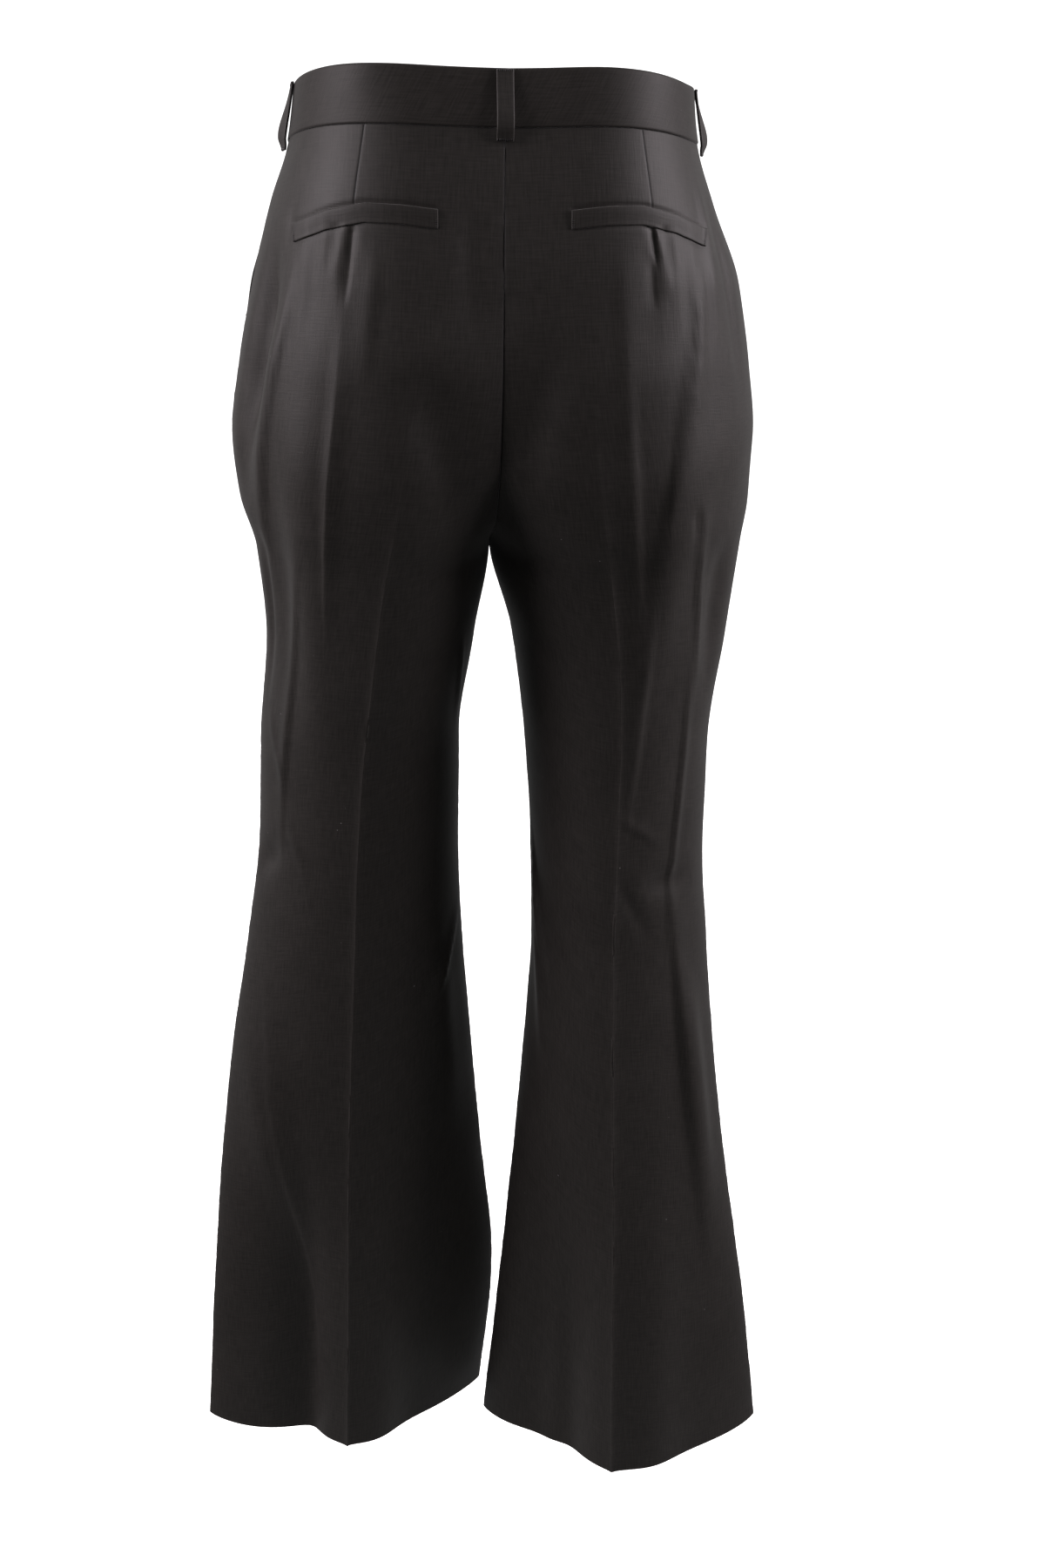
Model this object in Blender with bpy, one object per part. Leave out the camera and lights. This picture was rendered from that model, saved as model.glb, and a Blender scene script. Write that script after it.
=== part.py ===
"""Flared suit trousers in the hollow form they have when worn.

Metres, +Z up, the front faces -Y, and the wearer's left is +X. The origin is the centre of the
waistband's top edge, level with it at the sides. The cloth is a wall worked out from horizontal
sections: each leg has a table of sections from the waist to the hem, whose angle runs from the
outseam (0 degrees) over the back crease (90) to the inseam (180), and over the front crease
(-90) to the inseam again (-180). Above the crotch a section ends on the mid-plane, at the centre
back and centre front seams. A level is a height in the cut, and the waist tilts it up at the back.
"""

import math

import bmesh
import bpy
import numpy as np

CM = 0.01
MM = 0.001

# Driving dimensions.
CLOTH = 1.6 * MM
SEAM_GAP = 0.3 * MM
BAND_HEIGHT = 3.4  # centimetres, as every level and table below
BAND_WALL = 2.4 * MM
BAND_PROUD = 0.8 * MM
CROTCH_LEVEL = -29.4
HEM_LEVEL = -104.0
PANEL_TOP = -BAND_HEIGHT - 0.03
SIDEWAYS = 0.15  # centimetres round a section for one degree of its angle

# The sections. Distances in centimetres: out is from the mid-plane, side_y and the depths are
# along Y. inseam is where the leg's inner side lies. Above the crotch close_back and close_front
# say how far the section has closed round the leg: 0 is flat across, 1 is closed at the crotch.
# power is 2 for an oval and nearer 1 for a lozenge with pressed creases. twist turns the toes out.
SECTION_COLUMNS = (
    "level", "crease_out", "side_out", "inseam", "side_y", "back", "front",
    "close_back", "close_front", "power", "twist", "tilt",
)
LEFT_SECTIONS = (
    (0.0, 4.5, 12.55, 0, -0.5, 9.6, 8.1, 0.15, 0.15, 2.30, 0.00, 0.240),
    (-3.4, 4.6, 13.05, 0, -0.6, 10.5, 8.6, 0.16, 0.16, 2.25, 0.00, 0.232),
    (-7.0, 4.8, 14.25, 0, -0.4, 11.2, 9.3, 0.21, 0.18, 2.15, 0.00, 0.190),
    (-12.0, 5.0, 15.60, 0, 0.0, 11.8, 10.1, 0.28, 0.22, 2.10, 0.00, 0.130),
    (-17.0, 5.4, 16.60, 0, 0.0, 12.4, 10.2, 0.36, 0.28, 2.10, 0.00, 0.080),
    (-22.0, 6.1, 17.30, 0, 0.05, 12.2, 10.1, 0.50, 0.40, 2.05, 0.00, 0.040),
    (-26.0, 6.75, 16.95, 0, 0.15, 11.45, 9.95, 0.76, 0.66, 2.00, 0.00, 0.015),
    (-29.4, 7.35, 16.00, 0, 0.25, 10.4, 9.75, 1.00, 1.00, 2.00, 0.00, 0.000),
    (-36.0, 8.1, 15.45, 0.9, 0.2, 9.1, 9.4, 1, 1, 1.95, 0.00, 0),
    (-44.0, 8.9, 16.10, 1.9, -0.2, 7.8, 8.5, 1, 1, 1.90, 0.01, 0),
    (-52.0, 9.4, 16.45, 1.9, -0.3, 7.0, 7.4, 1, 1, 1.80, 0.02, 0),
    (-60.0, 9.7, 17.50, 1.6, -0.2, 6.5, 6.8, 1, 1, 1.70, 0.04, 0),
    (-70.0, 10.1, 19.10, 0.8, 0.0, 6.2, 6.4, 1, 1, 1.55, 0.07, 0),
    (-80.0, 10.4, 20.30, -0.1, 0.2, 6.0, 6.2, 1, 1, 1.45, 0.10, 0),
    (-92.0, 10.6, 21.35, -1.2, 0.5, 5.8, 6.1, 1, 1, 1.35, 0.12, 0),
    (-104.0, 10.9, 22.20, -0.3, 0.7, 5.8, 6.0, 1, 1, 1.30, 0.14, 0),
)
RIGHT_SECTIONS = (
    (0.0, 4.5, 12.55, 0, -0.8, 9.9, 7.8, 0.15, 0.15, 2.30, 0.00, 0.240),
    (-3.4, 4.6, 13.05, 0, -1.0, 10.9, 8.2, 0.16, 0.16, 2.25, 0.00, 0.232),
    (-7.0, 4.8, 14.25, 0, -0.6, 11.4, 9.1, 0.21, 0.18, 2.15, 0.00, 0.190),
    (-12.0, 5.0, 16.20, 0, 0.0, 11.8, 10.1, 0.28, 0.22, 2.10, 0.00, 0.130),
    (-17.0, 5.4, 17.15, 0, 0.0, 12.4, 10.2, 0.36, 0.28, 2.10, 0.00, 0.080),
    (-22.0, 6.1, 17.80, 0, 0.05, 12.2, 10.1, 0.50, 0.40, 2.05, 0.00, 0.040),
    (-26.0, 6.75, 17.75, 0, 0.15, 11.45, 9.95, 0.76, 0.66, 2.00, 0.00, 0.015),
    (-29.4, 7.35, 17.40, 0, 0.25, 10.4, 9.75, 1.00, 1.00, 2.00, 0.00, 0.000),
    (-36.0, 8.2, 16.75, 1.65, 0.55, 9.3, 9.3, 1, 1, 1.95, 0.00, 0),
    (-44.0, 8.6, 15.95, 2.7, 0.95, 8.3, 8.1, 1, 1, 1.90, 0.00, 0),
    (-52.0, 8.65, 16.00, 3.3, 1.4, 7.5, 7.1, 1, 1, 1.80, 0.01, 0),
    (-60.0, 8.8, 16.65, 3.5, 1.8, 7.0, 6.7, 1, 1, 1.70, 0.02, 0),
    (-70.0, 9.1, 17.70, 3.0, 2.4, 6.8, 6.5, 1, 1, 1.55, 0.04, 0),
    (-80.0, 9.5, 19.10, 2.3, 2.9, 6.7, 6.4, 1, 1, 1.45, 0.06, 0),
    (-92.0, 9.8, 21.10, 1.35, 3.4, 6.8, 6.3, 1, 1, 1.35, 0.08, 0),
    (-104.0, 10.1, 22.75, 0.35, 3.8, 7.0, 6.2, 1, 1, 1.30, 0.09, 0),
)

# The waist's edge rises and falls a little round the back, as worn: by a rise in centimetres at
# an angle, which spreads over a reach in degrees and fades out down the hips.
WAIST_COLUMNS = ("side", "angle", "reach", "rise")
WAIST_RISES = (
    ("left", 55, 36, 0.36),
    ("right", 80, 22, 0.16),
    ("right", 38, 18, -0.20),
)
WAIST_RISE_ENDS = -14.0

# The pressed creases stand out as a fine ridge, which fades in below the seat.
CREASE_HEIGHT = 0.28
CREASE_WIDTH = 1.1
CREASE_STARTS = -15.0
CREASE_FULL = -34.0

# The largest folds. Each runs from one place to another, given as an angle and a level, and
# stands out by its height (in where negative), in centimetres. reach is half its width. One that
# ends below the hem runs out through it.
FOLD_COLUMNS = ("side", "angle_from", "level_from", "angle_to", "level_to", "height", "reach")
FOLDS = (
    ("both", 70, -8.7, 72, -13.5, -0.24, 0.70),
    ("both", 63, -8.8, 66, -16.0, 0.26, 0.80),
    ("left", 54, -14, 64, -47, 0.50, 1.8),
    ("left", 41, -15, 50, -44, -0.40, 1.6),
    ("left", 5, -54.5, 45, -51, -0.35, 1.1),
    ("left", 16, -64, 46, -88, 0.45, 1.9),
    ("left", 47, -74, 46, -128, -1.75, 3.5),
    ("left", 112, -74, 112, -128, 0.80, 3.2),
    ("left", 148, -56, 164, -82, 0.35, 1.3),
    ("right", 50, -17, 90, -44, 0.50, 1.5),
    ("right", 40, -26, 40, -41, -0.45, 1.2),
    ("right", 78, -52.5, 28, -53.5, -0.30, 1.1),
    ("right", 38, -58, 14, -88, 0.50, 1.5),
    ("right", 62, -74, 62, -128, 0.60, 3.2),
    ("right", 124, -74, 128, -128, -1.2, 3.0),
    ("right", 152, -74, 156, -128, -0.9, 2.2),
    ("right", 166, -53, 138, -72, 0.40, 1.3),
    ("both", -35, -24, -52, -46, 0.40, 1.8),
    ("both", -120, -25, -70, -34, 0.35, 1.4),
    ("left", -60, -70, -58, -125, -0.75, 3.0),
    ("left", -114, -70, -116, -125, 0.80, 3.2),
    ("right", -58, -70, -60, -125, 0.80, 3.2),
    ("right", -116, -70, -112, -125, -0.75, 3.0),
    ("left", -25, -50, -70, -56, -0.35, 1.4),
    ("right", -80, -49, -30, -55, -0.35, 1.4),
)

# The grid of a panel: columns are fractions of the way from the inseam to the crease and from
# the crease to the outseam, and rows are levels, closer where the form changes fast.
OUTER_COLUMNS = (0.09, 0.16, 0.215, 0.27, 0.33, 0.41, 0.51, 0.61, 0.71, 0.81, 0.91, 1.0)
INNER_COLUMNS = (0.0, 0.2, 0.4, 0.58, 0.74, 0.88, 1.0)
FRONT_OUTER_COLUMNS = (0.1, 0.22, 0.35, 0.5, 0.65, 0.82, 1.0)
PANEL_LEVELS = (
    PANEL_TOP, -5.2, -7.0, -8.8, -10.4, -12.2, -14.5, -17.0, -19.5, -22.0, -24.2, -26.2,
    -27.6, -28.5, -29.0, CROTCH_LEVEL, -30.6, -32.8, -36.5, -40.5, -44.5, -48.5, -51.0,
    -53.5, -57.0, -62.0, -68.0, -75.0, -82.0, -89.0, -96.5, HEM_LEVEL,
)

# Front pockets: the mouth slants from the waist seam to the outseam.
MOUTH_ANGLE = -27.0
MOUTH_END = -14.5
MOUTH_GAPE = 0.22
MOUTH_GAPE_REACH = 1.2
MOUTH_GAPE_RISE = 3.0
MOUTH_GAPE_FALL = 4.6
FACING_SUNK = 1.0 * MM
FACING_LEVELS = (PANEL_TOP, -5.2, -7.0, -8.8, -10.4, -12.2, -13.7)

# Back pockets: one welt each. Its top edge is given by its distance out and its level.
WELT_TOP = ((4.0, -7.70), (6.2, -7.50), (8.4, -7.45), (10.6, -7.85), (12.7, -8.55))
WELT_HEIGHT = 1.0
WELT_WALL = 1.3 * MM
LAID_GAP = 0.5 * MM

# Fly: a J-shaped facing on the wearer's right front.
FLY_WIDTH = 3.6
FLY_INSET = 0.05
FLY_BOTTOM = -19.0
FLY_CURVE = 5.0
FLY_LEVELS = (-3.48, -6.0, -8.5, -11.0, -13.0, -14.5, -16.0, -17.3, -18.3, FLY_BOTTOM)
FLY_TIP = 0.97  # how much of a quarter turn the curved end makes
FLY_WALL = 1.2 * MM

# Waistband closure: the wearer's right end lies over the left one.
OVERLAP = 3.6
OVERLAP_RISE = 2.0

# Belt loops: angle is where each stands, slack how far it stands off the band in millimetres,
# and turn the share of that by which its front edge stands off further than its middle.
LOOP_COLUMNS = ("name", "side", "angle", "slack", "turn")
LOOPS = (
    ("belt_loop_back", "left", None, 3.2, 0.0),
    ("belt_loop_side_left", "left", 13.0, 2.4, 0.25),
    ("belt_loop_side_right", "right", 13.0, 3.0, 0.25),
    ("belt_loop_front_left", "left", -74.0, 3.2, 0.0),
    ("belt_loop_front_right", "right", -74.0, 3.2, 0.0),
)
LOOP_WIDTH = 10.5 * MM
LOOP_WALL = 1.8 * MM
LOOP_SAG = 2.0  # over 1 puts the widest gap below the loop's middle
LOOP_FULLNESS = 0.8  # under 1 makes the gap open quickly at both ends
LOOP_CURL = 0.4  # how far a loop follows the waist's curve across its width
LOOP_RADIUS = 8.6  # centimetres from a section's middle to the band at the side
LOOP_LEVELS = (-0.05, -0.45, -0.95, -1.5, -2.05, -2.6, -3.1, -3.55, -3.9, -4.2)

SIGN = {"left": 1.0, "right": -1.0}
SECTIONS = {
    "left": dict(zip(SECTION_COLUMNS, np.array(LEFT_SECTIONS, float).T)),
    "right": dict(zip(SECTION_COLUMNS, np.array(RIGHT_SECTIONS, float).T)),
}


def smooth_step(value, low, high):
    t = np.clip((value - low) / (high - low), 0, 1)
    return t * t * (3 - 2 * t)


def read_column(side, name, level):
    """A table column at any level: cubic between its rows, with no overshoot."""
    table = SECTIONS[side]
    x = -table["level"]
    y = table[name]
    step = np.diff(x)
    slope = np.diff(y) / step
    tangent = np.zeros(len(x))
    same_way = slope[1:] * slope[:-1] > 0
    mean = 2 * slope[1:] * slope[:-1] / np.where(same_way, slope[1:] + slope[:-1], 1)
    tangent[1:-1] = np.where(same_way, mean, 0)
    tangent[0], tangent[-1] = slope[0], slope[-1]
    at = np.clip(-np.asarray(level, float), x[0], x[-1])
    i = np.clip(np.searchsorted(x, at, side="right") - 1, 0, len(step) - 1)
    h = step[i]
    t = (at - x[i]) / h
    return (
        y[i] * (1 + 2 * t) * (1 - t) ** 2
        + tangent[i] * h * t * (1 - t) ** 2
        + y[i + 1] * t * t * (3 - 2 * t)
        + tangent[i + 1] * h * t * t * (t - 1)
    )


def section_at(side, level, facing_back):
    """What a section is at a level: its middle, its half widths and depth, and its power."""
    depth = read_column(side, "back" if facing_back else "front", level)
    close = read_column(side, "close_back" if facing_back else "close_front", level)
    middle = read_column(side, "crease_out", level)
    inseam = read_column(side, "inseam", level)
    closed = np.asarray(level) <= CROTCH_LEVEL
    inner = np.where(closed, middle - inseam, middle / np.clip(close, 0.05, 1))
    outer = read_column(side, "side_out", level) - middle
    return middle, outer, inner, depth, read_column(side, "power", level)


def inner_end(side, level, facing_back):
    """The angle, in degrees, at which a section ends: at the mid-plane or at the inseam."""
    middle, _, inner, depth, power = section_at(side, level, facing_back)
    rest = 1 - np.clip(middle / inner, 0, 1) ** power
    y = depth * np.maximum(rest, 0) ** (1 / power)
    angle = np.degrees(np.arctan2(y, -middle))
    angle = np.where(np.asarray(level) <= CROTCH_LEVEL, 180.0, angle)
    return angle if facing_back else -angle


def angle_at(side, out, level, facing_back):
    """The angle of the point that lies a given distance out from the mid-plane."""
    middle, outer, inner, depth, power = section_at(side, level, facing_back)
    across = out - middle
    half = np.where(across > 0, outer, inner)
    y = depth * (1 - np.clip(np.abs(across) / half, 0, 1) ** power) ** (1 / power)
    angle = np.degrees(np.arctan2(y, across))
    return angle if facing_back else -angle


def fold_height(side, angle, level):
    """How far the folds and pressed creases lift the cloth, in centimetres."""
    across = (np.abs(angle) - 90) * SIDEWAYS
    fade = 1 - smooth_step(level, CREASE_FULL, CREASE_STARTS)
    total = CREASE_HEIGHT * fade * np.exp(-np.abs(across) / CREASE_WIDTH)
    for row in FOLDS:
        fold = dict(zip(FOLD_COLUMNS, row))
        if fold["side"] not in ("both", side):
            continue
        start = np.array([fold["angle_from"] * SIDEWAYS, fold["level_from"]])
        end = np.array([fold["angle_to"] * SIDEWAYS, fold["level_to"]])
        length = np.linalg.norm(end - start)
        along = (end - start) / length
        dx = angle * SIDEWAYS - start[0]
        dz = level - start[1]
        t = (dx * along[0] + dz * along[1]) / length
        off = dx * along[1] - dz * along[0]
        ends = smooth_step(t, 0, 0.35) * smooth_step(1 - t, 0, 0.35)
        total = total + fold["height"] * ends * np.exp(-((off / fold["reach"]) ** 2))
    return total


def waist_rise(side, angle, level):
    """How far the waist's own rise and fall moves a point up, in centimetres."""
    total = np.zeros(np.broadcast(angle, level).shape)
    for row in WAIST_RISES:
        bump = dict(zip(WAIST_COLUMNS, row))
        if bump["side"] == side:
            total = total + bump["rise"] * np.exp(-(((angle - bump["angle"]) / bump["reach"]) ** 2))
    return total * (1 - smooth_step(-level, 0, -WAIST_RISE_ENDS))


def flat_form(side, angle, level, lift):
    """Points of the form, as arrays (..., 3) in metres, lifted in the section's own plane."""
    angle, level, lift = np.broadcast_arrays(angle, level, lift)
    radians = np.radians(angle)
    cosine, sine = np.cos(radians), np.sin(radians)
    back = section_at(side, level, True)
    front = section_at(side, level, False)
    middle, outer, inner, depth, power = [np.where(angle >= 0, b, f) for b, f in zip(back, front)]
    half = np.where(cosine > 0, outer, inner)
    reach = ((np.abs(cosine) / half) ** power + (np.abs(sine) / depth) ** power) ** (-1 / power)
    reach = reach + lift
    out = middle + reach * cosine
    twist = read_column(side, "twist", level) * (out - middle)
    y = read_column(side, "side_y", level) + reach * sine + twist
    z = level + read_column(side, "tilt", level) * y + waist_rise(side, angle, level)
    return np.stack([SIGN[side] * out * CM, y * CM, z * CM], axis=-1)


def form(side, angle, level, lift=0.0):
    return flat_form(side, angle, level, fold_height(side, angle, level) + lift)


def outward(side, angle, level):
    """Unit normals of the form, from its slopes round a section and down the leg."""
    round_section = form(side, angle + 0.5, level) - form(side, angle - 0.5, level)
    down = form(side, angle, level - 0.1) - form(side, angle, level + 0.1)
    normal = np.cross(down, round_section) * SIGN[side]
    return normal / np.linalg.norm(normal, axis=-1, keepdims=True)


def keep_to_side(points, side, rows):
    """Down to the crotch, the cloth stops half a seam gap short of the mid-plane."""
    out = SIGN[side] * points[..., 0]
    out = np.where(rows >= CROTCH_LEVEL, np.maximum(out, SEAM_GAP / 2), out)
    points[..., 0] = SIGN[side] * out
    return points


def cloth_material(name, value, roughness):
    material = bpy.data.materials.new(name)
    material.use_nodes = True
    shader = material.node_tree.nodes["Principled BSDF"]
    shader.inputs["Base Color"].default_value = (value, value * 0.97, value, 1)
    shader.inputs["Roughness"].default_value = roughness
    shader.inputs["Metallic"].default_value = 0.0
    return material


def add_wall(name, outer, inner, material):
    """A closed wall between two grids of points, each an array (rows, columns, 3)."""
    rows, columns = outer.shape[:2]
    count = rows * columns
    points = np.concatenate([outer.reshape(-1, 3), inner.reshape(-1, 3)])
    place = np.arange(count).reshape(rows, columns)
    rim = np.concatenate([place[0, :-1], place[:-1, -1], place[-1, :0:-1], place[:0:-1, 0]])
    after = np.roll(rim, -1)
    corners = (place[:-1, :-1], place[1:, :-1], place[1:, 1:], place[:-1, 1:])
    skin = np.stack([corner.ravel() for corner in corners], axis=1)
    lining = skin[:, ::-1] + count
    edge = np.stack([rim, after, after + count, rim + count], axis=1)
    faces = np.concatenate([skin, lining, edge])
    mesh = bpy.data.meshes.new(name)
    mesh.from_pydata([tuple(p) for p in points], [], faces.tolist())
    loose = bmesh.new()
    loose.from_mesh(mesh)
    bmesh.ops.recalc_face_normals(loose, faces=loose.faces)
    loose.to_mesh(mesh)
    loose.free()
    mesh.materials.append(material)
    mesh.shade_smooth()
    mesh.set_sharp_from_angle(angle=math.radians(40))
    made = bpy.data.objects.new(name, mesh)
    bpy.context.scene.collection.objects.link(made)
    return made


def spread(start, end, fractions):
    """Angles from start to end in each row, at the given fractions of the way."""
    return start[:, None] + (end - start)[:, None] * np.asarray(fractions)[None, :]


def gap_in_degrees(side, angle, level):
    """Half a seam gap as an angle: its share of a section's own radius there."""
    middle = read_column(side, "crease_out", level)
    across = np.linalg.norm(
        flat_form(side, angle, level, 0.0)[..., :2] / CM
        - np.stack([SIGN[side] * middle, read_column(side, "side_y", level)], axis=-1),
        axis=-1,
    )
    return np.degrees(SEAM_GAP / 2 / CM / across)


def mouth_angle(level):
    """Where the slanted pocket mouth lies at a level. Below its end it is the outseam."""
    t = np.clip((level - MOUTH_END) / (PANEL_TOP - MOUTH_END), 0, 1)
    return MOUTH_ANGLE * t


def add_back(side, material):
    level = np.array(PANEL_LEVELS)
    end = inner_end(side, level, True)
    end = end - np.where(level <= CROTCH_LEVEL, gap_in_degrees(side, end, level), 0)
    start = gap_in_degrees(side, np.zeros_like(level), level)
    crease = np.full_like(level, 90.0)
    angle = np.concatenate(
        [spread(end, crease, INNER_COLUMNS), spread(crease, start, OUTER_COLUMNS)], axis=1
    )
    rows = np.broadcast_to(level[:, None], angle.shape)
    outer = form(side, angle, rows)
    inner = outer - CLOTH * outward(side, angle, rows)
    outer, inner = keep_to_side(outer, side, rows), keep_to_side(inner, side, rows)
    return add_wall("back_" + side, outer, inner, material)


def add_front(side, material):
    """The front, from the pocket mouth or the outseam to the centre front and the inseam."""
    level = np.array(PANEL_LEVELS)
    end = inner_end(side, level, False)
    end = end + np.where(level <= CROTCH_LEVEL, gap_in_degrees(side, end, level), 0)
    start = mouth_angle(level)
    start = start - gap_in_degrees(side, start, level)
    crease = np.full_like(level, -90.0)
    angle = np.concatenate(
        [spread(end, crease, INNER_COLUMNS), spread(crease, start, FRONT_OUTER_COLUMNS)], axis=1
    )
    rows = np.broadcast_to(level[:, None], angle.shape)
    from_mouth = (angle - mouth_angle(rows)) * SIDEWAYS
    opens = smooth_step(rows, MOUTH_END, MOUTH_END + MOUTH_GAPE_RISE)
    closes = smooth_step(-rows, BAND_HEIGHT, BAND_HEIGHT + MOUTH_GAPE_FALL)
    gape = MOUTH_GAPE * opens * closes * np.exp(-((from_mouth / MOUTH_GAPE_REACH) ** 2))
    outer = form(side, angle, rows, gape)
    inner = outer - CLOTH * outward(side, angle, rows)
    outer, inner = keep_to_side(outer, side, rows), keep_to_side(inner, side, rows)
    return add_wall("front_" + side, outer, inner, material)


def add_pocket_facing(side, material):
    """The small piece that shows in the pocket mouth, a little lower than the front."""
    level = np.array(FACING_LEVELS)
    start = mouth_angle(level)
    start = start + gap_in_degrees(side, start, level)
    end = -gap_in_degrees(side, np.zeros_like(level), level)
    angle = spread(start, end, (0.0, 0.33, 0.67, 1.0))
    rows = np.broadcast_to(level[:, None], angle.shape)
    normal = outward(side, angle, rows)
    outer = form(side, angle, rows) - FACING_SUNK * normal
    return add_wall("pocket_facing_" + side, outer, outer - CLOTH * normal, material)


def add_welt(side, material):
    """One welt: a strip on the back, from near the seat seam to near the outseam."""
    out, top = np.array(WELT_TOP).T
    at = np.linspace(out[0], out[-1], 11)
    edge = np.interp(at, out, top)
    rows = edge[:, None] - WELT_HEIGHT * np.array([0.0, 0.5, 1.0])[None, :]
    angle = angle_at(side, at[:, None], rows, True)
    normal = outward(side, angle, rows)
    inner = form(side, angle, rows) + LAID_GAP * normal
    return add_wall("back_welt_" + side, inner + WELT_WALL * normal, inner, material)


def add_fly(material):
    """The J-shaped fly facing, laid on the wearer's right front beside the centre front."""
    side = "right"
    level = np.array(FLY_LEVELS)
    t = np.clip((FLY_BOTTOM + FLY_CURVE - level) / FLY_CURVE, 0, 1)
    width = FLY_WIDTH * np.sqrt(1 - (FLY_TIP * t) ** 2)
    out = FLY_INSET + (width - FLY_INSET)[:, None] * np.linspace(0, 1, 5)[None, :]
    rows = np.broadcast_to(level[:, None], out.shape)
    angle = angle_at(side, out, rows, False)
    normal = outward(side, angle, rows)
    inner = form(side, angle, rows) + LAID_GAP * normal
    return add_wall("fly_facing", inner + FLY_WALL * normal, inner, material)


def add_waistband(material):
    """One long strip round the waist, open at the centre front, where its right end lies on top."""
    level = np.linspace(0, -BAND_HEIGHT, 4)
    turns = []
    for side, fractions in (("left", np.linspace(0, 1, 24)), ("right", np.linspace(1, 0, 24)[1:])):
        front = inner_end(side, level, False)
        back = inner_end(side, level, True)
        turns.append((side, spread(front, back, fractions)))
    over = np.linspace(0, OVERLAP, 6)[1:]
    tongue = angle_at("left", over[None, :], level[:, None], False)
    turns.append(("left", np.broadcast_to(tongue, (len(level), len(over)))))
    outer, inner = [], []
    for index, (side, angle) in enumerate(turns):
        rows = np.broadcast_to(level[:, None], angle.shape)
        flat = flat_form(side, angle, rows, 0.0)
        normal = outward(side, angle, rows)
        rise = np.zeros(angle.shape)
        if index == 1:
            near = 1 - smooth_step(np.abs(flat[..., 0]) / CM, 0.2, 0.2 + OVERLAP_RISE)
            rise = np.where(angle < 0, near, 0)
        if index == 2:
            rise = np.ones(angle.shape)
        lift = BAND_PROUD + rise * (BAND_WALL + SEAM_GAP)
        top = flat + lift[..., None] * normal
        outer.append(top)
        inner.append(top - BAND_WALL * normal)
    outer, inner = np.concatenate(outer, axis=1), np.concatenate(inner, axis=1)
    for grid in (outer, inner):
        grid[:, 0, 0] = np.maximum(grid[:, 0, 0], SEAM_GAP)
    return add_wall("waistband", outer, inner, material)


def add_loop(name, side, angle, slack, turn, material):
    """A belt loop: a folded strip over the band, sewn down at its two ends."""
    level = np.array(LOOP_LEVELS)
    if angle is None:
        across = np.array([-1.0, 0.0, 1.0]) * LOOP_WIDTH / 2 / CM
        sides = [("right", 1), ("left", 0), ("left", 1)]
        angles = [angle_at(s, abs(a) * k, level, True) for (s, k), a in zip(sides, across)]
        sides = [s for s, _ in sides]
    else:
        half = np.degrees(LOOP_WIDTH / 2 / CM / LOOP_RADIUS)
        angles = [np.full_like(level, angle + half * k) for k in (-1, 0, 1)]
        sides = [side] * 3
    t = (level - level[0]) / (level[-1] - level[0])
    bow = np.sin(math.pi * t**LOOP_SAG) ** LOOP_FULLNESS
    on_band = smooth_step(level, -BAND_HEIGHT - 0.55, -BAND_HEIGHT - 0.05)
    share = 1 - turn * np.array([-1.0, 0.0, 1.0])
    lift = (SEAM_GAP + on_band * BAND_PROUD)[:, None] + slack * MM * bow[:, None] * share
    base = [flat_form(s, a, level, 0.0) for s, a in zip(sides, angles)]
    normal = [outward(s, a, level) for s, a in zip(sides, angles)]
    middle = normal[1]
    inner = np.stack(base, axis=1) + lift[..., None] * middle[:, None, :]
    drop = np.stack([np.sum((base[1] - b) * middle, axis=-1) for b in base], axis=1)
    inner = inner + (1 - LOOP_CURL) * drop[..., None] * middle[:, None, :]
    outer = inner + LOOP_WALL * middle[:, None, :]
    return add_wall(name, outer, inner, material)


def build():
    for old in list(bpy.data.objects):
        bpy.data.objects.remove(old)
    suiting = cloth_material("wool_suiting_black", 0.012, 0.75)
    fused = cloth_material("wool_suiting_fused_band", 0.013, 0.72)
    folded = cloth_material("wool_suiting_folded_trim", 0.014, 0.7)
    for side in ("left", "right"):
        add_back(side, suiting)
        add_front(side, suiting)
        add_pocket_facing(side, suiting)
        add_welt(side, folded)
    add_fly(suiting)
    add_waistband(fused)
    for row in LOOPS:
        loop = dict(zip(LOOP_COLUMNS, row))
        add_loop(**loop, material=folded)


build()
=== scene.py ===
# Flared suit trousers in black wool suiting, in their hollow worn form, seen from behind.
# Metres in the mesh, centimetres in the tables. +Z is up, the front faces -Y, the wearer's left
# is +X, and the origin is the centre of the waistband's top edge. Angles are in degrees round a
# leg's section: 0 at the outseam, 90 at the back crease, -90 at the front one, 180 at the inseam.
import math

import bpy
import numpy as np
from mathutils import Matrix, Vector


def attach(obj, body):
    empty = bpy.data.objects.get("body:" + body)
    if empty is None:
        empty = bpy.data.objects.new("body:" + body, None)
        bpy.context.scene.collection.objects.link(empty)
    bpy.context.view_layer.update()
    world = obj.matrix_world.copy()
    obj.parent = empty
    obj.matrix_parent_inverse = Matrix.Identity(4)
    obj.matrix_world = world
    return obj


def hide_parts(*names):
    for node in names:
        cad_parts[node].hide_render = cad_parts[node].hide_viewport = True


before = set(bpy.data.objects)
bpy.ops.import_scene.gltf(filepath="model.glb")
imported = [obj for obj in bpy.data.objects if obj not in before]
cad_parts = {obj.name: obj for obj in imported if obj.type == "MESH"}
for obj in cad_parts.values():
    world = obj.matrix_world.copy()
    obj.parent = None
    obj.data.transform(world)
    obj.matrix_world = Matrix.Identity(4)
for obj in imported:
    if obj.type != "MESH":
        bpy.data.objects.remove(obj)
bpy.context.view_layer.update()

cm = 0.01
mm = 0.001
sign = {"left": 1.0, "right": -1.0}
cutPlace = {"left": 0.11, "right": 0.63}  # metres along the bolt, so that the sides don't match
print("frame loaded:", len(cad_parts), "nodes")

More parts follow.
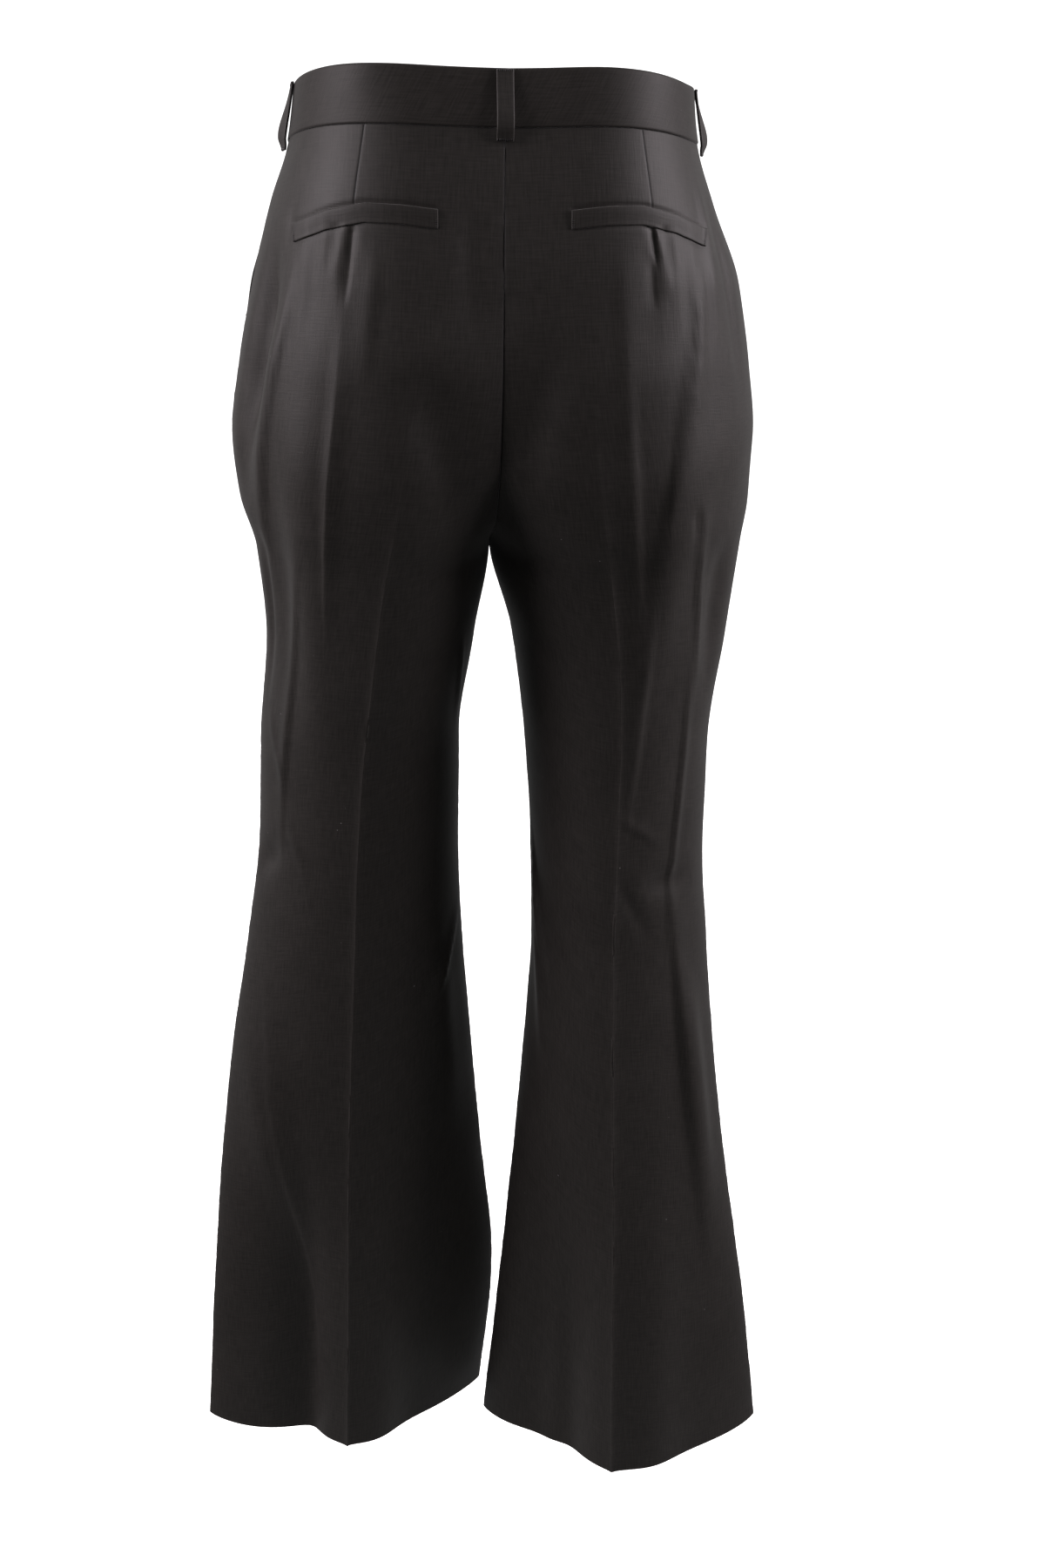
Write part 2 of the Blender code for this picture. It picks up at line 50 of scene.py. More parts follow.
# Horizontal sections of each leg, in centimetres: how far out the crease, the side and the
# inseam are, where the side lies along Y, the depths behind and in front of it, how far the
# section has closed round the leg above the crotch, the power of its oval, the toe-out and the
# tilt of the waist.
sectionColumns = (
    "level", "creaseOut", "sideOut", "inseam", "sideY", "back", "front",
    "closeBack", "closeFront", "power", "twist", "tilt",
)
leftSections = (
    (0, 4.5, 12.55, 0, -0.5, 9.6, 8.1, 0.15, 0.15, 2.3, 0, 0.24),
    (-3.4, 4.6, 13.05, 0, -0.6, 10.5, 8.6, 0.16, 0.16, 2.25, 0, 0.232),
    (-7, 4.8, 14.25, 0, -0.4, 11.2, 9.3, 0.21, 0.18, 2.15, 0, 0.19),
    (-12, 5, 15.6, 0, 0, 11.8, 10.1, 0.28, 0.22, 2.1, 0, 0.13),
    (-17, 5.4, 16.6, 0, 0, 12.4, 10.2, 0.36, 0.28, 2.1, 0, 0.08),
    (-22, 6.1, 17.3, 0, 0.05, 12.2, 10.1, 0.5, 0.4, 2.05, 0, 0.04),
    (-26, 6.75, 16.95, 0, 0.15, 11.45, 9.95, 0.76, 0.66, 2, 0, 0.015),
    (-29.4, 7.35, 16, 0, 0.25, 10.4, 9.75, 1, 1, 2, 0, 0),
    (-36, 8.1, 15.45, 0.9, 0.2, 9.1, 9.4, 1, 1, 1.95, 0, 0),
    (-44, 8.9, 16.1, 1.9, -0.2, 7.8, 8.5, 1, 1, 1.9, 0.01, 0),
    (-52, 9.4, 16.45, 1.9, -0.3, 7, 7.4, 1, 1, 1.8, 0.02, 0),
    (-60, 9.7, 17.5, 1.6, -0.2, 6.5, 6.8, 1, 1, 1.7, 0.04, 0),
    (-70, 10.1, 19.1, 0.8, 0, 6.2, 6.4, 1, 1, 1.55, 0.07, 0),
    (-80, 10.4, 20.3, -0.1, 0.2, 6, 6.2, 1, 1, 1.45, 0.1, 0),
    (-92, 10.6, 21.35, -1.2, 0.5, 5.8, 6.1, 1, 1, 1.35, 0.12, 0),
    (-104, 10.9, 22.2, -0.3, 0.7, 5.8, 6, 1, 1, 1.3, 0.14, 0),
)
rightSections = (
    (0, 4.5, 12.55, 0, -0.8, 9.9, 7.8, 0.15, 0.15, 2.3, 0, 0.24),
    (-3.4, 4.6, 13.05, 0, -1, 10.9, 8.2, 0.16, 0.16, 2.25, 0, 0.232),
    (-7, 4.8, 14.25, 0, -0.6, 11.4, 9.1, 0.21, 0.18, 2.15, 0, 0.19),
    (-12, 5, 16.2, 0, 0, 11.8, 10.1, 0.28, 0.22, 2.1, 0, 0.13),
    (-17, 5.4, 17.15, 0, 0, 12.4, 10.2, 0.36, 0.28, 2.1, 0, 0.08),
    (-22, 6.1, 17.8, 0, 0.05, 12.2, 10.1, 0.5, 0.4, 2.05, 0, 0.04),
    (-26, 6.75, 17.75, 0, 0.15, 11.45, 9.95, 0.76, 0.66, 2, 0, 0.015),
    (-29.4, 7.35, 17.4, 0, 0.25, 10.4, 9.75, 1, 1, 2, 0, 0),
    (-36, 8.2, 16.75, 1.65, 0.55, 9.3, 9.3, 1, 1, 1.95, 0, 0),
    (-44, 8.6, 15.95, 2.7, 0.95, 8.3, 8.1, 1, 1, 1.9, 0, 0),
    (-52, 8.65, 16, 3.3, 1.4, 7.5, 7.1, 1, 1, 1.8, 0.01, 0),
    (-60, 8.8, 16.65, 3.5, 1.8, 7, 6.7, 1, 1, 1.7, 0.02, 0),
    (-70, 9.1, 17.7, 3, 2.4, 6.8, 6.5, 1, 1, 1.55, 0.04, 0),
    (-80, 9.5, 19.1, 2.3, 2.9, 6.7, 6.4, 1, 1, 1.45, 0.06, 0),
    (-92, 9.8, 21.1, 1.35, 3.4, 6.8, 6.3, 1, 1, 1.35, 0.08, 0),
    (-104, 10.1, 22.75, 0.35, 3.8, 7, 6.2, 1, 1, 1.3, 0.09, 0),
)
sections = {
    "left": dict(zip(sectionColumns, np.array(leftSections, float).T)),
    "right": dict(zip(sectionColumns, np.array(rightSections, float).T)),
}

# How the waist's edge rises and falls round the back, as worn: by a rise in centimetres at an
# angle, spread over a reach in degrees.
waistColumns = ("side", "angle", "reach", "rise")
waistRises = (
    ("left", 55, 36, 0.36),
    ("right", 80, 22, 0.16),
    ("right", 38, 18, -0.20),
)
cut = {
    "bandHeight": 3.4,
    "crotch": -29.4,
    "hem": -104.0,
    "sideways": 0.15,  # centimetres round a section for one degree of its angle
    "creaseHeight": 0.28,
    "creaseWidth": 1.1,
    "pressHeight": 0.09,
    "pressWidth": 0.20,
    "creaseStarts": -15.0,
    "creaseFull": -34.0,
    "waistRiseEnds": -14.0,
    "mouthAngle": -27.0,
    "mouthDrop": 0.03,
    "mouthEnd": -14.5,
    "mouthGape": 0.22,
    "mouthGapeReach": 1.2,
    "mouthGapeFades": (3.0, 4.6),  # above the mouth's end, and below the band
}

# Folds: each runs from one angle and level to another and stands out by its height, or in where
# negative. reach is half its width, and lean makes its outer side steeper (over 0) or softer.
foldColumns = (
    "side", "angleFrom", "levelFrom", "angleTo", "levelTo", "height", "reach", "lean",
)
foldEnds = {"pleat": 0.08, "fold": 0.35}  # the share of its length over which each one starts
# the pleats that spring from under the welts, which start at once and fade out below
pleats = (
    ("left", 66.3, -8.5, 62, -11.8, 0.12, 0.14, 0.4),
    ("left", 68.2, -8.5, 66.6, -13.2, -0.13, 0.19, 0),
    ("left", 62.4, -8.4, 60.6, -11.8, -0.06, 0.2, 0),
    ("right", 67.6, -8.45, 64.6, -12.6, 0.11, 0.14, 0.4),
    ("right", 69.2, -8.45, 67.4, -10.8, -0.1, 0.13, 0),
    ("right", 69.4, -10.2, 69.6, -13.2, -0.09, 0.22, 0),
    ("right", 64.4, -8.4, 61.6, -11.6, -0.07, 0.2, 0),
)
folds = (
    # the large ones, which the solids have too
    ("both", 70, -8.7, 72, -13.5, -0.04, 0.6, 0),
    ("both", 63, -8.8, 66, -16, 0.09, 0.7, 0),
    ("left", 54, -14, 64, -47, 0.5, 1.8, 0),
    ("left", 41, -15, 50, -44, -0.4, 1.6, 0),
    ("left", 5, -54.5, 45, -51, -0.35, 1.1, 0),
    ("left", 16, -64, 46, -88, 0.45, 1.9, 0),
    ("left", 47, -74, 46, -128, -1.75, 3.5, 0),
    ("left", 112, -74, 112, -128, 0.8, 3.2, 0),
    ("left", 148, -56, 164, -82, 0.35, 1.3, 0),
    ("right", 50, -17, 90, -44, 0.5, 1.5, 0),
    ("right", 40, -26, 40, -41, -0.45, 1.2, 0),
    ("right", 78, -52.5, 28, -53.5, -0.3, 1.1, 0),
    ("right", 38, -58, 14, -88, 0.5, 1.5, 0),
    ("right", 62, -74, 62, -128, 0.6, 3.2, 0),
    ("right", 124, -74, 128, -128, -1.2, 3, 0),
    ("right", 152, -74, 156, -128, -0.9, 2.2, 0),
    ("right", 166, -53, 138, -72, 0.4, 1.3, 0),
    ("both", -35, -24, -52, -46, 0.4, 1.8, 0),
    ("both", -120, -25, -70, -34, 0.35, 1.4, 0),
    ("left", -60, -70, -58, -125, -0.75, 3, 0),
    ("left", -114, -70, -116, -125, 0.8, 3.2, 0),
    ("right", -58, -70, -60, -125, 0.8, 3.2, 0),
    ("right", -116, -70, -112, -125, -0.75, 3, 0),
    ("left", -25, -50, -70, -56, -0.35, 1.4, 0),
    ("right", -80, -49, -30, -55, -0.35, 1.4, 0),
    # the finer ones: pleats under the welts, then sharp ridges and soft troughs down the legs
    ("left", 75.4, -9, 74.8, -18.5, 0.13, 0.45, 0.6),
    ("left", 58, -7, 58, -13.5, 0.07, 0.26, 0),
    ("left", 51, -7.4, 52, -16.5, 0.12, 0.34, 0.3),
    ("left", 49, -8, 31, -33, 0.36, 0.42, 0.6),
    ("left", 34, -8, 23, -27, -1.1, 0.95, 0),
    ("left", 42, -6.6, 40, -12, -0.1, 0.3, 0),
    ("left", 66.5, -11.5, 69.5, -36, 0.2, 0.32, -0.6),
    ("left", 59, -24, 33, -56, 0.26, 0.5, 0.6),
    ("left", 31, -26, 18, -42, -0.3, 0.6, 0),
    ("left", 136, -34, 162, -44, 0.16, 0.32, 0),
    ("left", 174, -57, 132, -68, 0.2, 0.42, 0.4),
    ("left", 104, -6.6, 105, -16, -0.16, 0.6, 0),
    ("left", 90, -15, 114, -28, -0.48, 1.2, 0),
    ("left", 40, -47, 64, -56, 0.08, 0.6, 0),
    ("left", 22, -40, 50, -48, 0.1, 0.5, 0.4),
    ("left", 22, -58, 70, -104, 0.16, 0.9, -0.6),
    ("right", 78.6, -9, 80.5, -22, 0.13, 0.5, 0.6),
    ("right", 60, -7.6, 61, -16, 0.09, 0.26, 0),
    ("right", 53, -7.4, 55, -17, 0.12, 0.3, 0),
    ("right", 47.5, -8.6, 64, -24, 0.2, 0.26, 0.5),
    ("right", 42, -4.2, 47, -17.5, 0.2, 0.36, 0.5),
    ("right", 34, -5.5, 33, -20, -0.24, 0.5, 0),
    ("right", 52, -11, 80, -35, 0.22, 0.5, 0.6),
    ("right", 58.5, -24.4, 57, -27.6, -0.2, 0.26, 0),
    ("right", 57, -23, 50, -40, 0.2, 0.3, 0.5),
    ("right", 55, -33, 53, -62, 0.22, 0.38, 0.6),
    ("right", 55, -50, 14, -92, 0.34, 0.8, 0.6),
    ("right", 94, -46.6, 58, -50.4, 0.1, 0.34, 0.4),
    ("right", 95, -51, 61, -58.8, -0.1, 0.6, 0),
    ("right", 178, -49, 128, -67, 0.22, 0.36, 0),
    ("right", 98, -13, 118, -26, -0.45, 1.2, 0),
    ("right", 79, -14, 81.5, -38, 0.2, 0.34, -0.6),
    ("right", 75, -28, 88, -52, 0.2, 0.5, -0.6),
    # the hidden sides, in the same manner
    ("left", -18, -16, -34, -36, 0.24, 0.5, 0.5),
    ("left", -44, -18, -58, -40, -0.22, 0.6, 0),
    ("left", -62, -6, -66, -15, 0.1, 0.35, 0.3),
    ("left", -130, -25, -98, -42, 0.2, 0.42, 0.4),
    ("left", -20, -44.5, -64, -51.5, 0.18, 0.42, 0.4),
    ("left", -112, -47, -152, -57, -0.2, 0.5, 0),
    ("left", -28, -57, -52, -88, 0.26, 0.55, -0.5),
    ("right", -16, -18, -40, -35, 0.24, 0.48, 0.5),
    ("right", -52, -22, -60, -44, -0.2, 0.6, 0),
    ("right", -66, -6, -64, -16, 0.1, 0.35, 0.3),
    ("right", -126, -26, -94, -45, 0.2, 0.42, 0.4),
    ("right", -24, -53, -72, -46, 0.18, 0.42, 0.4),
    ("right", -108, -56, -148, -49, -0.2, 0.5, 0),
    ("right", -38, -61, -26, -92, 0.26, 0.55, -0.5),
)


def smoothStep(value, low, high):
    # t squared times (3 - 2t), with t the value's share of the way from low to high
    t = np.clip((value - low) / (high - low), 0, 1)
    return t * t * (3 - 2 * t)


def bell(distance, reach):
    # e to the power of minus the square of the distance over the reach
    return np.exp(-((distance / reach) ** 2))


def readColumn(side, name, level):
    # a cubic between the table's rows, whose slope at a row is the harmonic mean of its neighbours'
    table = sections[side]
    x = -table["level"]
    y = table[name]
    step = np.diff(x)
    slope = np.diff(y) / step
    tangent = np.zeros(len(x))
    sameWay = slope[1:] * slope[:-1] > 0
    mean = 2 * slope[1:] * slope[:-1] / np.where(sameWay, slope[1:] + slope[:-1], 1)
    tangent[1:-1] = np.where(sameWay, mean, 0)
    tangent[0], tangent[-1] = slope[0], slope[-1]
    at = np.clip(-np.asarray(level, float), x[0], x[-1])
    i = np.clip(np.searchsorted(x, at, side="right") - 1, 0, len(step) - 1)
    h = step[i]
    t = (at - x[i]) / h
    return (
        y[i] * (1 + 2 * t) * (1 - t) ** 2
        + tangent[i] * h * t * (1 - t) ** 2
        + y[i + 1] * t * t * (3 - 2 * t)
        + tangent[i + 1] * h * t * t * (t - 1)
    )


def sectionAt(side, level, facingBack):
    # the middle, outer and inner half widths, depth and power of the section at a level
    depth = readColumn(side, "back" if facingBack else "front", level)
    close = readColumn(side, "closeBack" if facingBack else "closeFront", level)
    middle = readColumn(side, "creaseOut", level)
    inseam = readColumn(side, "inseam", level)
    closed = np.asarray(level) <= cut["crotch"]
    inner = np.where(closed, middle - inseam, middle / np.clip(close, 0.05, 1))
    outer = readColumn(side, "sideOut", level) - middle
    return middle, outer, inner, depth, readColumn(side, "power", level)


def innerEnd(side, level, facingBack):
    # the angle where a section meets the mid-plane, or 180 degrees at the inseam
    middle, _, inner, depth, power = sectionAt(side, level, facingBack)
    rest = 1 - np.clip(middle / inner, 0, 1) ** power
    y = depth * np.maximum(rest, 0) ** (1 / power)
    angle = np.degrees(np.arctan2(y, -middle))
    angle = np.where(np.asarray(level) <= cut["crotch"], 180.0, angle)
    return angle if facingBack else -angle


def angleAt(side, out, level, facingBack):
    # the angle of the section's point that lies so far out from the mid-plane
    middle, outer, inner, depth, power = sectionAt(side, level, facingBack)
    across = out - middle
    half = np.where(across > 0, outer, inner)
    y = depth * (1 - np.clip(np.abs(across) / half, 0, 1) ** power) ** (1 / power)
    angle = np.degrees(np.arctan2(y, across))
    return angle if facingBack else -angle


def foldHeight(side, angle, level):
    # the pressed crease is a falling exponential on each side of 90 degrees. A fold is a bell
    # curve across its line, with soft ends
    across = (np.abs(angle) - 90) * cut["sideways"]
    fade = 1 - smoothStep(level, cut["creaseFull"], cut["creaseStarts"])
    total = cut["creaseHeight"] * fade * np.exp(-np.abs(across) / cut["creaseWidth"])
    # the sharp press line along the crease is narrower still
    total = total + cut["pressHeight"] * fade * np.exp(-np.abs(across) / cut["pressWidth"])
    for index, row in enumerate(pleats + folds):
        fold = dict(zip(foldColumns, row))
        if fold["side"] not in ("both", side):
            continue
        soft = foldEnds["pleat" if index < len(pleats) else "fold"]
        start = np.array([fold["angleFrom"] * cut["sideways"], fold["levelFrom"]])
        end = np.array([fold["angleTo"] * cut["sideways"], fold["levelTo"]])
        length = np.linalg.norm(end - start)
        along = (end - start) / length
        dx = angle * cut["sideways"] - start[0]
        dz = level - start[1]
        t = (dx * along[0] + dz * along[1]) / length
        off = dx * along[1] - dz * along[0]
        reach = fold["reach"] * (1 + fold["lean"] * np.tanh(off / fold["reach"]))
        ends = smoothStep(t, 0, soft) * smoothStep(1 - t, 0, foldEnds["fold"] + soft / 2)
        total = total + fold["height"] * ends * bell(off, reach)
    return total


def waistRise(side, angle, level):
    # a sum of bell curves round the waist, which fades out down the hips
    total = np.zeros(np.broadcast(angle, level).shape)
    for row in waistRises:
        bump = dict(zip(waistColumns, row))
        if bump["side"] == side:
            total = total + bump["rise"] * bell(angle - bump["angle"], bump["reach"])
    return total * (1 - smoothStep(-level, 0, -cut["waistRiseEnds"]))


def flatForm(side, angle, level, lift):
    # a section is a superellipse in polar form: 1 / reach to the power is the sum of the
    # cosine over the half width and the sine over the depth, each to the power
    angle, level, lift = np.broadcast_arrays(angle, level, lift)
    radians = np.radians(angle)
    cosine, sine = np.cos(radians), np.sin(radians)
    back = sectionAt(side, level, True)
    front = sectionAt(side, level, False)
    middle, outer, inner, depth, power = [np.where(angle >= 0, b, f) for b, f in zip(back, front)]
    half = np.where(cosine > 0, outer, inner)
    reach = ((np.abs(cosine) / half) ** power + (np.abs(sine) / depth) ** power) ** (-1 / power)
    reach = reach + lift
    out = middle + reach * cosine
    twist = readColumn(side, "twist", level) * (out - middle)
    y = readColumn(side, "sideY", level) + reach * sine + twist
    z = level + readColumn(side, "tilt", level) * y + waistRise(side, angle, level)
    return np.stack([sign[side] * out * cm, y * cm, z * cm], axis=-1)


def form(side, angle, level, lift=0.0):
    return flatForm(side, angle, level, foldHeight(side, angle, level) + lift)


def outward(side, angle, level, turn=0.5, drop=0.1):
    # the unit normal, from the form's slopes over a small turn and a small drop each way
    roundSection = form(side, angle + turn, level) - form(side, angle - turn, level)
    down = form(side, angle, level - drop) - form(side, angle, level + drop)
    normal = np.cross(down, roundSection) * sign[side]
    return normal / np.linalg.norm(normal, axis=-1, keepdims=True)


def gridNormals(points, towards):
    # the cross product of the grid's own slopes, turned to the same side as towards
    normal = np.cross(np.gradient(points, axis=0), np.gradient(points, axis=1))
    normal = normal / np.maximum(np.linalg.norm(normal, axis=-1, keepdims=True), 1e-12)
    return normal * np.sign(np.sum(normal * towards))


def arcLengths(points, axis):
    # the running sum of the distances between neighbours along one axis of the grid
    step = np.linalg.norm(np.diff(points, axis=axis), axis=-1)
    run = np.cumsum(step, axis=axis)
    start = np.zeros_like(np.take(run, [0], axis=axis))
    return np.concatenate([start, run], axis=axis)


def edgeDistances(points, axis):
    # how far each point is from both ends of its line of the grid, along the surface
    run = arcLengths(points, axis)
    return run, np.take(run, [-1], axis=axis) - run


def laidOut(points, shift=0.0):
    # each point's place in the flat cloth: the arc lengths across and down the grid
    return np.stack([arcLengths(points, 1) + shift, -arcLengths(points, 0)], axis=-1)


def spread(start, end, fractions):
    return start[:, None] + (end - start)[:, None] * np.asarray(fractions)[None, :]


def bunched(count, length, near):
    # even fractions of a length, with a few more at the given distances from both its ends
    near = np.array(near) / length
    inside = np.linspace(near[-1], 1 - near[-1], count)
    return np.concatenate([near[:-1], inside, 1 - near[:-1][::-1]])


def unevenness(u, v, size, seed, waves=7):
    # a sum of sines in several directions, with phases worked out from the seed
    total = np.zeros(np.broadcast(u, v).shape)
    for k in range(waves):
        turn = 2.4 * k + 0.7 * seed
        wave = 2 * math.pi / (size * (0.75 + 0.13 * k))
        total = total + np.sin((u * math.cos(turn) + v * math.sin(turn)) * wave + 1.7 * k * seed)
    return total / waves


def hexLinear(code):
    # sRGB to linear: a channel c becomes ((c + 0.055) / 1.055) ^ 2.4, or c / 12.92 near black
    values = [int(code[i:i + 2], 16) / 255 for i in (1, 3, 5)]
    linear = [c / 12.92 if c <= 0.04045 else ((c + 0.055) / 1.055) ** 2.4 for c in values]
    return (*linear, 1.0)


def setInputs(tree, node, inputs):
    for key, value in inputs.items():
        if isinstance(value, bpy.types.NodeSocket):
            tree.links.new(value, node.inputs[key])
        else:
            node.inputs[key].default_value = value


def addNode(tree, kind, inputs=None, **settings):
    node = tree.nodes.new("ShaderNode" + kind)
    for key, value in settings.items():
        setattr(node, key, value)
    setInputs(tree, node, inputs or {})
    return node


def blend(tree, factor, a, b, kind="FLOAT"):
    # a plain mix of two numbers or, with kind RGBA, of two colours
    mixed = addNode(tree, "Mix", {"Factor": factor, "A": a, "B": b}, data_type=kind)
    return mixed.outputs[2 if kind == "RGBA" else 0]


def remap(tree, value, fromRange, toRange=(0.0, 1.0)):
    # a straight line from one range to another, held at its ends
    ends = dict(zip(("From Min", "From Max", "To Min", "To Max"), (*fromRange, *toRange)))
    return addNode(tree, "MapRange", {"Value": value, **ends}).outputs[0]


def newMaterial(name):
    material = bpy.data.materials.new(name)
    material.use_nodes = True
    return material, material.node_tree, material.node_tree.nodes["Principled BSDF"]


suitingLook = {
    "shadow": "#141210",
    "thread": "#2b2826",
    "roughness": 0.56,
    "roughnessVaries": 0.05,
    "specular": 0.20,
    "sheen": 0.09,
    "sheenRoughness": 0.35,
    "threadPitch": 1.1,  # millimetres, drawn about twice as coarse as the real yarn, to show
    "threadRun": 16.0,
    "weftShare": 0.45,
    "patchScale": 22.0,
    "patchShare": 0.25,
    "bumpDepth": 0.12,
    "bumpStrength": 0.5,
    # the colour of the painted shade along the seams and the dart
    "paintedSeamShade": "#070606",
    "lint": "#7d797a",
    "lintApart": 24.0,
    "lintSize": 0.55,
    "lintShows": 0.6,
}


def makeSuiting(name, look):
    # worsted wool, woven fine and pressed: a dark matt ground with a soft sheen at the edges,
    # with painted shade darkening it along the seams and the dart, and a few specks of lint
    material, tree, shader = newMaterial(name)
    uv = addNode(tree, "UVMap", uv_map="cloth").outputs["UV"]
    along, across = 1 / (look["threadRun"] * mm), 1 / (look["threadPitch"] * mm)
    yarns = []
    for scale in ((across, along, 1), (along, across, 1)):
        place = addNode(tree, "Mapping", {"Vector": uv, "Scale": scale}).outputs[0]
        slubs = addNode(tree, "TexNoise", {"Vector": place, "Scale": 1.0, "Detail": 2.0,
                                           "Roughness": 0.6})
        yarns.append(slubs.outputs[0])
    threads = remap(tree, blend(tree, look["weftShare"], *yarns), (0.3, 0.7))
    patches = addNode(tree, "TexNoise", {"Vector": uv, "Scale": look["patchScale"],
                                         "Detail": 3.0}).outputs[0]
    tone = blend(tree, look["patchShare"], threads, patches)
    ground = blend(tree, tone, hexLinear(look["shadow"]), hexLinear(look["thread"]), "RGBA")
    cells = addNode(tree, "TexVoronoi", {"Vector": uv, "Scale": 1000 / look["lintApart"]})
    size = look["lintSize"] / look["lintApart"]
    speck = remap(tree, cells.outputs["Distance"], (size / 2, size), (look["lintShows"], 0.0))
    dusty = blend(tree, speck, ground, hexLinear(look["lint"]), "RGBA")
    # painted shade: the seam attribute darkens the colour along the seams and the dart, as the shade
    # in their grooves would
    paintedShadeFac = addNode(tree, "Attribute", attribute_name="seamShadeAndDip").outputs["Fac"]
    varies = (look["roughness"] - look["roughnessVaries"], look["roughness"] + look["roughnessVaries"])
    bump = addNode(tree, "Bump", {"Height": threads, "Strength": look["bumpStrength"],
                                  "Distance": look["bumpDepth"] * mm})
    setInputs(tree, shader, {
        "Base Color": blend(tree, paintedShadeFac, dusty, hexLinear(look["paintedSeamShade"]), "RGBA"),
        "Roughness": remap(tree, patches, (0.0, 1.0), varies),
        "Normal": bump.outputs[0],
        "Specular IOR Level": look["specular"],
        "Sheen Weight": look["sheen"],
        "Sheen Roughness": look["sheenRoughness"],
    })
    return material


cloths = {
    "suiting": makeSuiting("wool_suiting_woven_pressed", suitingLook),
    "fused_band": makeSuiting("wool_suiting_fused_band", {**suitingLook, "specular": 0.14}),
    "folded_trim": makeSuiting("wool_suiting_folded_trim", suitingLook),
}

threadLook = {
    "colour": "#1d1a1b",
    "roughness": 0.42,
    "specular": 0.4,
    "ringScale": 125.0,
    "ringStrength": 0.4,
    "ringDepth": 0.05,
}


def makeThread(look):
    # spun polyester sewing thread: nearly black, with its twist as fine slanted rings
    material, tree, shader = newMaterial("polyester_thread_twisted")
    place = addNode(tree, "TexCoord").outputs["Object"]
    twist = addNode(tree, "TexWave", {"Vector": place, "Scale": look["ringScale"], "Distortion": 1.0},
                    bands_direction="DIAGONAL")
    bump = addNode(tree, "Bump", {"Height": twist.outputs[1], "Strength": look["ringStrength"],
                                  "Distance": look["ringDepth"] * mm})
    setInputs(tree, shader, {
        "Base Color": hexLinear(look["colour"]),
        "Roughness": look["roughness"],
        "Normal": bump.outputs[0],
        "Specular IOR Level": look["specular"],
    })
    return material


thread = makeThread(threadLook)
print("materials made")


def makeMesh(name, points, faces, uv, material, seamShadeAndDip=None):
    # one mesh from whole arrays: points, four-cornered faces, and a place in the cloth per point
    mesh = bpy.data.meshes.new(name)
    mesh.vertices.add(len(points))
    mesh.vertices.foreach_set("co", points.astype(np.float32).ravel())
    mesh.loops.add(faces.size)
    mesh.loops.foreach_set("vertex_index", faces.astype(np.int32).ravel())
    mesh.polygons.add(len(faces))
    mesh.polygons.foreach_set("loop_start", np.arange(0, faces.size, 4, dtype=np.int32))
    mesh.polygons.foreach_set("use_smooth", np.ones(len(faces), bool))
    layer = mesh.uv_layers.new(name="cloth")
    layer.data.foreach_set("uv", uv[faces.ravel()].astype(np.float32).ravel())
    # the painted seam shade is kept as a point attribute for the cloth's material
    if seamShadeAndDip is not None:
        layer = mesh.attributes.new("seamShadeAndDip", "FLOAT", "POINT")
        layer.data.foreach_set("value", seamShadeAndDip.astype(np.float32))
    mesh.update()
    mesh.validate()
    mesh.materials.append(material)
    made = bpy.data.objects.new(name, mesh)
    bpy.context.scene.collection.objects.link(made)
    return made


def edgeRound(distance, radius):
    # a quarter circle: how far the surface has fallen this near to an edge
    inside = radius - np.minimum(distance, radius)
    return radius - np.sqrt(np.maximum(radius**2 - inside**2, 0))


def dress(piece, node):
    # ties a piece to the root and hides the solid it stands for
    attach(piece, "root")
    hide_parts(node)


def makeCloth(node, cloth, sizes, points, normal, uv=None, seamShadeAndDip=None, sewn=None,
              deeper=0.0):
    # a closed wall round a grid of points: both faces curve to the middle of the wall at its
    # four edges, as a fold of cloth does, and the inner face may lie deeper
    uv = laidOut(points) if uv is None else uv
    thick = sizes["thick"]
    distances = (*edgeDistances(points, 1), *edgeDistances(points, 0))
    fall = np.max([edgeRound(distance, thick / 2) for distance in distances], axis=0)
    outer = points - fall[..., None] * normal
    inner = points - (thick + deeper - fall)[..., None] * normal
    if sewn is not None:
        # in these rows the first column is sewn to the other side along the mid-plane
        outer[sewn, 0, 0] = points[sewn, 0, 0]
    rows, columns = points.shape[:2]
    count = rows * columns
    place = np.arange(count).reshape(rows, columns)
    rim = np.concatenate([place[0, :-1], place[:-1, -1], place[-1, :0:-1], place[:0:-1, 0]])
    inner.reshape(-1, 3)[rim] = outer.reshape(-1, 3)[rim]
    corners = (place[:-1, :-1], place[1:, :-1], place[1:, 1:], place[:-1, 1:])
    skin = np.stack([corner.ravel() for corner in corners], axis=1)
    # the inner face shares the rim's points
    shared = np.arange(2 * count)
    shared[rim + count] = rim
    faces = np.concatenate([skin, shared[skin[:, ::-1] + count]])
    first = np.cross(points[1, 0] - points[0, 0], points[0, 1] - points[0, 0])
    if np.dot(first, normal[0, 0]) < 0:
        faces = faces[:, ::-1]
    used, index = np.unique(faces.ravel(), return_inverse=True)
    every = np.concatenate([outer.reshape(-1, 3), inner.reshape(-1, 3)])[used]
    places = np.concatenate([uv.reshape(-1, 2), uv.reshape(-1, 2)])[used]
    if seamShadeAndDip is not None:
        seamShadeAndDip = np.concatenate([seamShadeAndDip.ravel(), seamShadeAndDip.ravel()])[used]
    faces = index.reshape(faces.shape)
    dress(makeMesh(node + "_cloth", every, faces, places, cloths[cloth], seamShadeAndDip),
          node)


def layOn(node, cloth, sizes, side, angle, rows, lift):
    # a piece that follows the form at a lift from it, the same or one for each point
    base = form(side, angle, rows)
    normal = gridNormals(base, outward(side, angle, rows))
    makeCloth(node, cloth, sizes, base + lift * normal, normal)


